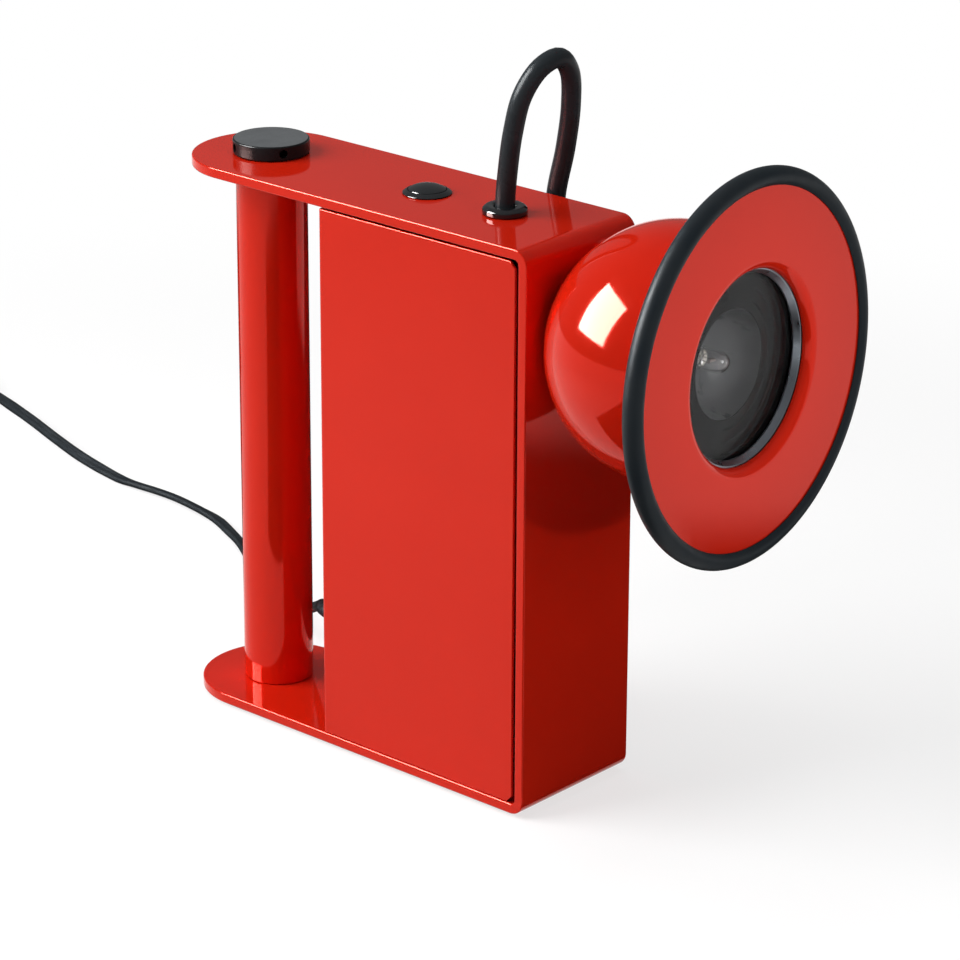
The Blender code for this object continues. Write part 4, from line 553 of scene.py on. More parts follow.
# Nodes and kinds of finish
class Graph:
    """Nodes of one material or world, each added with its inputs in one call."""

    def __init__(self, owner: bpy.types.Material | bpy.types.World, bare: bool = False) -> None:
        """Start with the shader that a new material has, or with nothing.

        Args:
            owner: The material or world.
            bare: Whether it starts with nothing.
        """
        owner.use_nodes = True
        self.nodes, self.links = owner.node_tree.nodes, owner.node_tree.links
        if bare:
            self.nodes.clear()

    def feed(self, socket: Socket, value: object) -> None:
        """Link a socket to another, or set its value.

        Args:
            socket: The socket that is fed.
            value: A value, or the socket of another node.
        """
        if isinstance(value, bpy.types.NodeSocket):
            self.links.new(value, socket)
        else:
            socket.default_value = value

    def add(self, kind: str, inputs: Feeds | None = None, out: str | int = 0, **settings: object) -> Socket:
        """Add a node.

        Args:
            kind: The node's type, without its first part.
            inputs: What feeds its sockets, by name or number.
            out: Name or number of the output that is wanted.
            settings: The node's own attributes.

        Returns:
            The output.
        """
        node = self.nodes.new("ShaderNode" + kind)
        for key, value in settings.items():
            setattr(node, key, value)
        for key, value in (inputs or {}).items():
            self.feed(node.inputs[key], value)
        return node.outputs[out]

    def end(self, kind: str, shader: Socket) -> None:
        """Join the last shader to a new output node."""
        self.feed(self.nodes.new("ShaderNodeOutput" + kind).inputs["Surface"], shader)

    def set(self, **values: object) -> None:
        """Feed sockets of a material's own shader, an underscore standing for a space."""
        for key, value in values.items():
            self.feed(self.nodes["Principled BSDF"].inputs[key.replace("_", " ")], value)

    def place(self, scale: Point3 = EVEN) -> Socket:
        """Object coordinates, stretched."""
        return self.add("Mapping", {"Vector": self.add("TexCoord", out="Object"), "Scale": scale})

    def noise(self, scale: float, detail: float = 2.0, stretch: Point3 = EVEN) -> Socket:
        """Noise in the piece's own space."""
        return self.add("TexNoise", {"Vector": self.place(stretch), "Scale": scale, "Detail": detail}, "Fac")

    def ramp(self, value: Socket, start: float, end: float, **settings: object) -> Socket:
        """A value from 0 to 1 as another one goes from a start to an end."""
        return self.add("MapRange", {"Value": value, "From Min": start, "From Max": end}, **settings)

    def spread(self, value: Socket, low: float, high: float) -> Socket:
        """A range in place of 0.3 to 0.7, where noise mostly lies."""
        ends = {"Value": value, "From Min": 0.3, "From Max": 0.7, "To Min": low, "To Max": high}
        return self.add("MapRange", ends)

    def blend(self, share: Socket, first: Colour, second: Colour) -> Socket:
        """Mix two colours by a value, 0 for the first."""
        ends = {"Factor": share, "A": (*first, 1.0), "B": (*second, 1.0)}
        return self.add("Mix", ends, "Result", data_type="RGBA")

    def bump(self, height: Socket, distance: float) -> None:
        """Raise the surface by a value times a distance."""
        self.set(Normal=self.add("Bump", {"Height": height, "Distance": distance, "Strength": 1.0}))

    def fade(self, centre: Point3, near: float, far: float) -> Socket:
        """A value that climbs smoothly with the distance from a point.

        Args:
            centre: The point.
            near: Distance up to which the value is 0.
            far: Distance past which it is 1.

        Returns:
            The value.
        """
        ends = {0: self.add("TexCoord", out="Object"), 1: centre}
        reach = self.add("VectorMath", ends, "Value", operation="DISTANCE")
        return self.ramp(reach, near, far, interpolation_type="SMOOTHSTEP")

    def eye(self) -> Socket:
        """A value of 1 for rays that the camera, a gloss or a glass sends, else 0.

        Returns:
            The value.
        """
        rays = self.nodes.new("ShaderNodeLightPath").outputs
        first = self.add("Math", {0: rays["Is Camera Ray"], 1: rays["Is Glossy Ray"]}, operation="MAXIMUM")
        return self.add("Math", {0: first, 1: rays["Is Transmission Ray"]}, operation="MAXIMUM")


@dataclass(frozen=True)
class Finish:
    """What every finish has: its name, its slot's name, two close colours and a roughness."""

    name: str
    slot: str
    colour: Colour
    second: Colour
    roughness: float

    @cached_property
    def material(self) -> bpy.types.Material:
        """The finish's material, made at its first use.

        Returns:
            The material.
        """
        made = bpy.data.materials.new(self.name)
        self.lay(Graph(made))
        return made

    def lay(self, graph: Graph) -> None:
        """Join the finish's nodes, which each kind does in its own way."""
        raise NotImplementedError

    def coat(self, graph: Graph, cloud: Socket, marks: Socket, low: float, high: float) -> None:
        """Give the shader the two colours in clouds, and a roughness that varies.

        Args:
            graph: The material's nodes.
            cloud: Value that mixes the colours.
            marks: Value that varies the roughness.
            low: Least share of the roughness.
            high: Largest share of it.
        """
        rough = graph.spread(marks, self.roughness * low, self.roughness * high)
        graph.set(Base_Color=graph.blend(cloud, self.colour, self.second), Roughness=rough)


@dataclass(frozen=True)
class Lacquer(Finish):
    """Stoved gloss lacquer on steel, with a trace of orange peel and of wiped marks."""

    specular: float = 0.22
    metallic: float = 0.24
    tint: Colour = (1.0, 0.98, 0.87)
    clouds: float = 26.0
    marks: float = 190.0
    peel: float = 620.0
    depth: float = 0.0000045

    def lay(self, graph: Graph) -> None:
        """Join the nodes.

        Args:
            graph: The material's nodes.
        """
        marks = graph.noise(self.marks, 5.0, (1.0, 1.0, 0.35))
        self.coat(graph, graph.spread(graph.noise(self.clouds, 4.0), 0.0, 1.0), marks, 0.75, 17 / 12)
        graph.bump(graph.noise(self.peel, 1.5), self.depth)
        graph.set(IOR=1.47, Specular_IOR_Level=self.specular, Metallic=self.metallic)
        graph.set(Specular_Tint=(*self.tint, 1.0))


@dataclass(frozen=True)
class Moulded(Finish):
    """Moulded plastic or rubber with a fine grain."""

    grain: float = 1500.0
    depth: float = 0.000006
    sheen: float = 0.0
    specular: float = 0.5
    clouds: float = 60.0
    handled: float = 140.0

    def lay(self, graph: Graph) -> None:
        """Join the nodes.

        Args:
            graph: The material's nodes.
        """
        cloud = graph.spread(graph.noise(self.clouds, 5.0), 0.0, 1.0)
        self.coat(graph, cloud, graph.noise(self.handled, 4.0), 0.85, 1.2)
        if self.depth:
            graph.bump(graph.noise(self.grain, 2.0), self.depth)
        graph.set(IOR=1.5, Specular_IOR_Level=self.specular, Sheen_Weight=self.sheen, Sheen_Roughness=0.45)


@dataclass(frozen=True)
class Metal(Finish):
    """Plated or bare metal, drawn along one direction."""

    drawn: Point3 = EVEN
    lines: float = 900.0
    depth: float = 0.000002
    clouds: float = 90.0

    def lay(self, graph: Graph) -> None:
        """Join the nodes.

        Args:
            graph: The material's nodes.
        """
        drawn = graph.noise(self.lines, 3.0, self.drawn)
        self.coat(graph, graph.spread(graph.noise(self.clouds, 4.0), 0.0, 1.0), drawn, 0.75, 1.3)
        if self.depth:
            graph.bump(drawn, self.depth)
        graph.set(Metallic=1.0)


@dataclass(frozen=True)
class Layered(Finish):
    """Stacked sheets or wound wire: fine bands along one axis of the piece."""

    axis: Point3 = EVEN
    pitch: float = 0.001
    depth: float = 0.00004
    handled: float = 300.0

    def lay(self, graph: Graph) -> None:
        """Join the nodes.

        Args:
            graph: The material's nodes.
        """
        turns = math.pi / 10.0 / self.pitch
        place = graph.place(tuple(turns * part for part in self.axis))
        ends = {"Vector": place, "Scale": 1.0, "Distortion": 0.0}
        wave = graph.add("TexWave", ends, "Fac", wave_type="BANDS", bands_direction="DIAGONAL")
        self.coat(graph, wave, graph.noise(self.handled), 0.8, 1.2)
        graph.bump(wave, self.depth)
        graph.set(Metallic=1.0)


@dataclass(frozen=True)
class Glass(Finish):
    """Clear glass with a faint film of dust."""

    ior: float = 1.46
    dust: float = 240.0

    def lay(self, graph: Graph) -> None:
        """Join the nodes.

        Args:
            graph: The material's nodes.
        """
        film = graph.spread(graph.noise(self.dust, 4.0), 0.0, self.roughness)
        graph.set(Roughness=film, Base_Color=(*self.colour, 1.0), Transmission_Weight=1.0, IOR=self.ior)


# Finishes of this lamp
RED = Lacquer("red_lacquer", "red_paint", (0.518, 0.0131, 0.0036), (0.530, 0.0140, 0.0039), 0.06)
GLOSS_BLACK = Moulded(
    "black_enamel", "black_gloss", (0.006, 0.0075, 0.0085), (0.009, 0.0105, 0.0115), 0.10, 900.0, 0.000002,
)
SATIN_BLACK = Moulded(
    "satin_black", "black_gloss", (0.005, 0.0058, 0.0065), (0.007, 0.0077, 0.0083), 0.28, 900.0, 0.000002,
    0.0, 0.11,
)
RIM = Moulded(
    "rim_rubber", "black_rubber", (0.009, 0.0125, 0.0155), (0.013, 0.0158, 0.0182), 0.40, 1700.0, 0.000004,
    0.0, 0.09,
)
SHEATH = Moulded(
    "cord_sheath", "black_rubber", (0.008, 0.0105, 0.0130), (0.014, 0.0170, 0.0192), 0.56, 1300.0, 0.000004,
    0.0, 0.06,
)
LEAD = Moulded(
    "lead_sheath", "black_rubber", (0.014, 0.0175, 0.0200), (0.018, 0.0215, 0.0240), 0.28, 1300.0, 0.0, 0.0,
    0.06,
)
RUBBER = Moulded(
    "sole_rubber", "black_rubber", (0.020, 0.021, 0.022), (0.034, 0.035, 0.036), 0.62, 1900.0, 0.00002, 0.1,
)
PLASTIC = Moulded(
    "black_moulding", "black_plastic", (0.014, 0.015, 0.016), (0.020, 0.021, 0.023), 0.38, 2200.0, 0.00001,
)
WIRE = Moulded("wire_sheath", "wire", (0.50, 0.46, 0.39), (0.58, 0.53, 0.45), 0.42)
CERAMIC = Moulded("steatite", "ceramic", (0.78, 0.75, 0.68), (0.68, 0.65, 0.58), 0.48, 1400.0, 0.00001)
FERRITE = Moulded("ferrite", "ferrite", (0.030, 0.031, 0.034), (0.050, 0.050, 0.054), 0.50, 2600.0, 0.00001)
DISH = Moulded(
    "black_mirror", "dark_chrome", (0.003, 0.0034, 0.0036), (0.004, 0.0044, 0.0046), 0.10, 60.0, 0.0, 0.0,
    0.04,
)
# Painted reflection: a flat grey for the deep bowl, in place of what its mirror would reflect.
PAINTED_BOWL_REFLECTION = Moulded(
    "bowl_painted_reflection", "dark_chrome", (0.055, 0.057, 0.059), (0.049, 0.051, 0.053), 0.30, 60.0, 0.0, 0.0, 0.30,
)
# Painted sheen: a lighter metal for the knob's top faces, so that the top shows brighter than its black
# sides.
TOP_SHEEN_METAL = Metal(
    "knob_top_sheen", "black_gloss", (0.44, 0.47, 0.485), (0.38, 0.405, 0.42), 0.20, EVEN, 700.0, 0.000001,
)
BEZEL = Metal("grey_bezel", "dark_chrome", (0.27, 0.30, 0.33), (0.24, 0.265, 0.295), 0.32, EVEN, 200.0, 0.0)
STEEL = Metal("zinc_steel", "steel", (0.60, 0.60, 0.61), (0.48, 0.48, 0.50), 0.30, (1.0, 6.0, 1.0))
NICKEL = Metal("nickel_pins", "steel", (0.66, 0.64, 0.60), (0.56, 0.54, 0.50), 0.20, (1.0, 1.0, 5.0))
TUNGSTEN = Metal("tungsten", "steel", (0.34, 0.30, 0.29), (0.25, 0.22, 0.21), 0.40)
CORE = Layered(
    "core_laminations", "steel", (0.10, 0.10, 0.105), (0.26, 0.26, 0.27), 0.42, (0.0, 1.0, 0.0), 0.0007,
)
COPPER = Layered(
    "enamelled_winding", "copper", (0.30, 0.10, 0.04), (0.66, 0.27, 0.12), 0.26, (0.0, 0.0, 1.0), 0.0008,
)
GLASS = Glass("front_glass", "glass", EVEN, EVEN, 0.02, 1.12)
QUARTZ = Glass("quartz", "glass", (0.98, 0.97, 0.97), EVEN, 0.02, 1.45)


# Sub-assemblies
class Assembly:
    """A group of pieces that ride on the lamp's bodies."""

    def show(
        self, name: str, shape: Shape, finish: Finish, *nodes: str, place: Matrix = at(),
        body: Body | None = Body.FRAME, sharp: float = 40.0,
    ) -> Piece:
        """Make a finished piece.

        Args:
            name: The piece's name.
            shape: Its solid, which is freed.
            finish: Its finish.
            nodes: The nodes that it stands for.
            place: Where the solid goes.
            body: The body that it rides on, or None for none.
            sharp: Angle in degrees past which an edge stays sharp.

        Returns:
            The piece.
        """
        mesh = mesh_from(name, placed(shape, place))
        mesh.shade_smooth()
        mesh.set_sharp_from_angle(angle=math.radians(sharp))
        mesh.materials.append(finish.material)
        piece = linked(name, mesh)
        normals = piece.modifiers.new("Even shading", "WEIGHTED_NORMAL")
        normals.keep_sharp = True
        normals.weight = 100
        if nodes:
            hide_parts(*nodes)
        if body:
            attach(piece, body.value)
        LOG.info("%s: %d faces", name, len(mesh.polygons))
        return piece

    def dress(self, finish: Finish, *nodes: str) -> None:
        """Give nodes of the model a better finish.

        Args:
            finish: The finish.
            nodes: Names of the nodes.
        """
        for node in nodes:
            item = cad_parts[node]
            if not item.material_slots:
                item.data.materials.append(finish.material)
            for held in item.material_slots:
                held.material = finish.material
            LOG.info("%s: dressed", node)


@dataclass
class FrameAssembly(Assembly):
    """The bent strip, its sole, the handle's tube and the capstan knob."""

    gauge: float = 0.0045
    bend: float = 0.0068
    rounding: float = 0.0006
    over: float = 0.004
    rod_bore: float = 0.0043
    rod_head_bore: float = 0.0073
    switch_bore: float = 0.0095
    gland_bore: float = 0.0069
    magnet_bore: float = 0.0189
    magnet_depth: float = 0.012
    screw_bore: float = 0.0041
    screw_x: Point2 = (0.0070, 0.0630)
    screw_y: float = 0.020
    sole_inset: float = 0.0025
    sole_behind: float = 0.0060
    sole_thickness: float = 0.0012
    sole_edge: float = 0.0003
    tube_radius: float = 0.0156
    tube_wall: float = 0.0015
    tube_edge: float = 0.0004
    knob_radius: float = 0.01675
    knob_low: float = 0.2518
    knob_high: float = 0.2582
    knob_crown: float = 0.0017
    knob_edge: float = 0.0007
    knob_hole: float = 0.0019
    knob_hole_depth: float = 0.0060
    knob_holes: int = 4
    knob_first: float = math.radians(-27.0)

    def build(self) -> None:
        """Make the pieces."""
        self.build_strip()
        sole = prism(self.plan(self.sole_inset, -self.sole_behind), 0.0, self.sole_thickness)
        self.show("sole_sheet", soften(sole, self.sole_edge, 2), RUBBER, "base_sole")
        self.build_tube()
        self.build_knob()
        self.dress(PLASTIC, "tube_bush_bottom", "tube_bush_top")
        self.dress(STEEL, "tie_rod")

    def plan(self, inset: float, over: float) -> list[Point2]:
        """Plan of the frame: straight sides, square front, round rear end.

        Args:
            inset: How far inside the frame it runs.
            over: How far it runs past the front.

        Returns:
            The outline's points.
        """
        half, front = SPOT.half_width - inset, SPOT.front - inset + over
        rounded = arc((SPOT.tube_x, 0.0), half, QUARTER, QUARTER * 3, 72)
        return [*rounded, (front, -half), (front, half)]

    def build_strip(self) -> None:
        """Make the C of steel strip with its holes and soft edges."""
        back, under, above = SPOT.rear - self.over, SPOT.underside, SPOT.top
        corners = [(back, above), (SPOT.front, above), (SPOT.front, under), (back, under)]
        strip = folded(corners, self.bend, self.gauge, SPOT.half_width * 2 + self.over)
        plan = prism(self.plan(0.0, self.over), under - self.over, above + self.over)
        strip = combined(strip, [plan], Cut.SHARED)
        low, high = SPOT.ceiling - self.over, above + self.over
        holes = [bar(radius, low, high, at(x)) for radius, x in (
            (self.rod_bore, SPOT.tube_x), (self.switch_bore, SPOT.switch_x), (self.gland_bore, SPOT.gland_x),
        )]
        seat = at(z=SPOT.ball_centre[2]) @ facing(X_AXIS)
        holes.append(bar(self.magnet_bore, SPOT.front - self.magnet_depth, SPOT.front + self.over, seat, 96))
        low, high = under - self.over, SPOT.floor + self.over
        holes.append(bar(self.rod_head_bore, low, high, at(SPOT.tube_x)))
        for x in self.screw_x:
            holes += [bar(self.screw_bore, low, high, at(x, y), 32) for y in (-self.screw_y, self.screw_y)]
        strip = soften(combined(strip, holes, Cut.AWAY), self.rounding, 3, 50.0)
        self.show("frame_steel", strip, RED, "frame_strip")

    def build_tube(self) -> None:
        """Make the handle's tube."""
        low, high = SPOT.floor + GAP, SPOT.ceiling - GAP
        inside, outside = self.tube_radius - self.tube_wall, self.tube_radius
        section = [(inside, low), (inside, high), (outside, high), (outside, low)]
        tube = lathe(section, 128, True, self.tube_edge, 2)
        self.show("handle_pipe", tube, RED, "handle_tube", place=at(SPOT.tube_x))

    def build_knob(self) -> None:
        """Make the round capstan nut with its bar holes; its top faces get a lighter metal, a painted sheen
        that shows the top brighter than the black sides.
        """
        low, high, inside = self.knob_low, self.knob_high, self.knob_high - self.knob_crown
        section = [
            (0.0, high), (self.knob_radius, high), (self.knob_radius, low), (self.rod_bore, low),
            (self.rod_bore, inside), (0.0, inside),
        ]
        holes = []
        for index in range(self.knob_holes):
            angle = self.knob_first + math.tau * index / self.knob_holes
            turn = at(z=(low + high) / 2) @ facing(Vector((math.cos(angle), math.sin(angle), 0.0)))
            start, end = self.knob_radius - self.knob_hole_depth, self.knob_radius + self.over
            holes.append(bar(self.knob_hole, start, end, turn, 40))
        knob = combined(lathe(section, 128, False, self.knob_edge, 4, 60.0), holes, Cut.AWAY)
        # Painted sheen: the flat top faces take the second, lighter material.
        for panel in knob.faces:
            if panel.normal.z > 0.99 and panel.calc_center_median().z > high - GAP / 3:
                panel.material_index = 1
        place = at(SPOT.tube_x)
        piece = self.show(
            "knob_turned", knob, SATIN_BLACK, "capstan_knob", place=place, body=Body.KNOB, sharp=30.0,
        )
        piece.data.materials.append(TOP_SHEEN_METAL.material)


@dataclass
class BoxAssembly(Assembly):
    """The folded cover, its screws, the switch and what the box holds."""

    rear: float = -0.0108
    front: float = 0.0993
    low: float = 0.0063
    high: float = 0.2460
    half: float = 0.0341
    sheet: float = 0.0015
    bend: float = 0.0019
    corner: float = 0.0030
    over: float = 0.002
    cord_height: float = 0.0436
    cord_bore: float = 0.0043
    screw_bore: float = 0.0018
    screw_heights: Point2 = (0.0223, 0.2300)
    screw: Section = (
        (0.0, 0.0018), (0.0012, 0.00172), (0.0021, 0.00135), (0.0028, 0.0006), (0.0028, 0.0), (0.0015, 0.0),
        (0.0015, -0.0056), (0.0, -0.0056),
    )
    slot_half: float = 0.00035
    slot_floor: float = 0.0009
    screw_edge: float = 0.0002
    cover_edge: float = 0.0004
    collar_edge: float = 0.0002
    collar: Section = (
        (0.0084, 0.0019), (0.0093, 0.0015), (0.0100, 0.0009), (0.0105, 0.0006), (0.0105, 0.0003),
        (0.0092, 0.0003), (0.0092, -0.0150), (0.0025, -0.0150), (0.0025, -0.0138), (0.0084, -0.0138),
    )
    cap: float = 0.0081
    rise: float = 0.0042
    dome: float = 0.0022
    cap_edge: float = 0.0003
    skirt: float = 0.005
    stem_radius: float = 0.0022
    stem: float = -0.0125
    spring_radius: float = 0.0045
    spring_wire: float = 0.0004
    spring_turns: int = 4
    spring_foot: float = -0.0135

    def build(self) -> None:
        """Make the pieces."""
        self.build_cover()
        self.build_screws()
        collar = lathe(self.collar, 96, True, self.collar_edge, 3, 18.0)
        self.show("switch_collar", collar, GLOSS_BLACK, "switch_bezel", place=at(SPOT.switch_x, z=SPOT.top))
        self.build_button()
        self.build_spring()
        self.dress(
            STEEL, "chassis", "transformer_strap", "strap_screw_rear", "strap_screw_front", "switch_nut",
            "lead_gland_nut", "base_screw_1", "base_screw_2", "base_screw_3", "base_screw_4", "magnet_cup",
            "head_gland_nut",
        )
        self.dress(CORE, "transformer_core")
        self.dress(COPPER, "coil_winding")
        self.dress(PLASTIC, "coil_bobbin", "switch_body", "relief_nut")
        self.dress(CERAMIC, "terminal_block")
        self.dress(FERRITE, "magnet_ring")
        self.dress(WIRE, "mains_wire", "switch_wire", "lead_wire", "coil_wire", "bulb_wire")

    def build_cover(self) -> None:
        """Make the folded sheet: near side, rear and far side, with its front corners cut."""
        front, rear, half = self.front, self.rear, self.half
        corners = [(front, -half), (rear, -half), (rear, half), (front, half)]
        cover = folded(corners, self.bend, self.sheet, self.high - self.low)
        placed(cover, at(z=(self.high + self.low) / 2) @ about("X", QUARTER))
        past, wide = self.over, self.half + self.over * 2
        cutters = []
        for z, up in ((self.low, 1.0), (self.high, -1.0)):
            wedge = [
                (front - self.corner - past, z - up * past), (front + past, z + up * (self.corner + past)),
                (front + past, z - up * past),
            ]
            cutters.append(placed(prism(wedge, -wide, wide), about("X", QUARTER)))
        holes = [(self.cord_bore, self.cord_height, 40)]
        holes += [(self.screw_bore, z, 24) for z in self.screw_heights]
        for radius, z, steps in holes:
            cutters.append(bar(radius, rear - past, rear + past * 2, at(z=z) @ facing(X_AXIS), steps))
        cover = soften(combined(cover, cutters, Cut.AWAY), self.cover_edge, 3, 50.0)
        self.show("cover_sheet", cover, RED, "cover_shell")

    def build_screws(self) -> None:
        """Make the two black slotted screws in the rear of the cover."""
        names = (("screw_low", "cover_screw_lower"), ("screw_high", "cover_screw_upper"))
        for (name, node), z in zip(names, self.screw_heights):
            far, half = self.over * 2, self.slot_half
            slot = prism([(-far, -half), (far, -half), (far, half), (-far, half)], self.slot_floor, far)
            screw = combined(lathe(self.screw, 40, False, self.screw_edge, 2), [slot], Cut.AWAY)
            turn = at(self.rear - GAP, z=z) @ facing(-X_AXIS) @ about("Z", z * 9.0)
            self.show(name, screw, GLOSS_BLACK, node, place=turn, sharp=30.0)

    def build_button(self) -> None:
        """Make the domed push button."""
        ball = (self.cap ** 2 + self.dome ** 2) / (2 * self.dome)
        under = self.rise - self.dome - self.skirt
        dome = arc((0.0, self.rise - ball), ball, QUARTER, QUARTER - math.asin(self.cap / ball), 16)
        section = [
            (0.0, self.rise), *dome[1:], (self.cap, under), (self.stem_radius, under),
            (self.stem_radius, self.stem), (0.0, self.stem),
        ]
        self.show(
            "button_cap", lathe(section, 96, False, self.cap_edge), GLOSS_BLACK, "switch_button",
            place=at(SPOT.switch_x, z=SPOT.top), body=Body.BUTTON,
        )

    def build_spring(self) -> None:
        """Make the coil spring under the button."""
        low = SPOT.top + self.spring_foot + self.spring_wire
        high = SPOT.top + self.rise - self.dome - self.skirt - GAP - self.spring_wire
        pitch = (high - low) / self.spring_turns
        line = spiral(at(SPOT.switch_x, z=low), self.spring_radius, pitch, self.spring_turns, 24)
        coil = sweep(circle(self.spring_wire, 10), carried_frames(line))
        spring = self.show("button_coil", coil, STEEL, "button_spring", body=None)
        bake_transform(spring)


@dataclass
class LeadAssembly(Assembly):
    """The round lead from the frame to the head and its two glands."""

    radius: float = 0.0042
    gland: Section = (
        (0.0045, 0.0026), (0.0049, 0.0035), (0.0058, 0.0039), (0.0079, 0.0039), (0.0095, 0.0025),
        (0.0095, 0.0003), (0.0066, 0.0003), (0.0066, -0.0130), (0.0045, -0.0130),
    )
    head_gland: Section = (
        (0.0045, 0.0045), (0.0061, 0.0045), (0.0078, 0.0028), (0.0078, 0.0003), (0.0058, 0.0003),
        (0.0058, -0.0090), (0.0045, -0.0090),
    )
    gland_edge: float = 0.0005
    head_gland_edge: float = 0.0004
    gland_height: float = 0.0036
    straight: float = 0.0126
    inside: float = 0.022
    in_head: float = 0.010
    spacing: float = 0.0022
    cut_x: float = 0.0870
    cut_below: float = 0.21
    bend_x: float = 0.0985
    held: float = 0.0062
    leaving: Point3 = (0.0503, 0.0455, 0.2320)
    loop: Route = (
        (0.0650, 0.0002, 0.2700), (0.0674, 0.0006, 0.2870), (0.0714, 0.0018, 0.3030),
        (0.0758, 0.0075, 0.3140), (0.0778, 0.0165, 0.3170), (0.0761, 0.0255, 0.3095),
        (0.0712, 0.0325, 0.2930), (0.0643, 0.0375, 0.2720), (0.0568, 0.0405, 0.2490),
        (0.0520, 0.0462, 0.2270), (0.0539, 0.0548, 0.2080), (0.0620, 0.0625, 0.1955),
        (0.0748, 0.0690, 0.1915), (0.0881, 0.0722, 0.1950), (0.1000, 0.0708, 0.2030),
    )

    def build(self) -> None:
        """Make the pieces."""
        gland = lathe(self.gland, 96, True, self.gland_edge, 3, 20.0)
        self.show("gland_collar", gland, GLOSS_BLACK, "lead_gland", place=at(SPOT.gland_x, z=SPOT.top))
        gland = lathe(self.head_gland, 72, True, self.head_gland_edge, 3, 20.0)
        place = at(*SPOT.ball_centre) @ facing(SPOT.head_gland_axis()) @ at(z=SPOT.ball_radius)
        self.show("head_gland_collar", gland, GLOSS_BLACK, "head_gland", place=place, body=Body.HEAD)
        self.build_lead()

    def build_lead(self) -> None:
        """Make the lead as two lengths, split on its way to the head."""
        start = Vector((SPOT.gland_x, 0.0, SPOT.top - self.inside))
        gland_top = Vector((SPOT.gland_x, 0.0, SPOT.top + self.gland_height))
        axis = SPOT.head_gland_axis()
        surface = Vector(SPOT.ball_centre) + axis * SPOT.ball_radius
        ends = [surface + axis * self.straight, surface, surface - axis * self.in_head]
        points = smooth_route([start, (start + gland_top) / 2, gland_top, *self.loop, *ends], self.spacing)
        cut = next(i for i, p in enumerate(points) if p.x > self.cut_x and p.z < self.cut_below)
        bending = next(p for p in points[cut:] if p.x > self.bend_x)
        frames = carried_frames(points)
        for name, part, bodies, places in (
            ("lead_loop", slice(0, cut + 1), (Body.FRAME, Body.SEAT), (self.leaving, points[cut - 1])),
            ("lead_end", slice(cut, None), (Body.SEAT, Body.HEAD), (bending, surface + axis * self.held)),
        ):
            shape, line = sweep(circle(self.radius, 32), frames[part]), points[part]
            lead = self.show(name, shape, LEAD, "head_lead", body=None)
            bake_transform(lead)


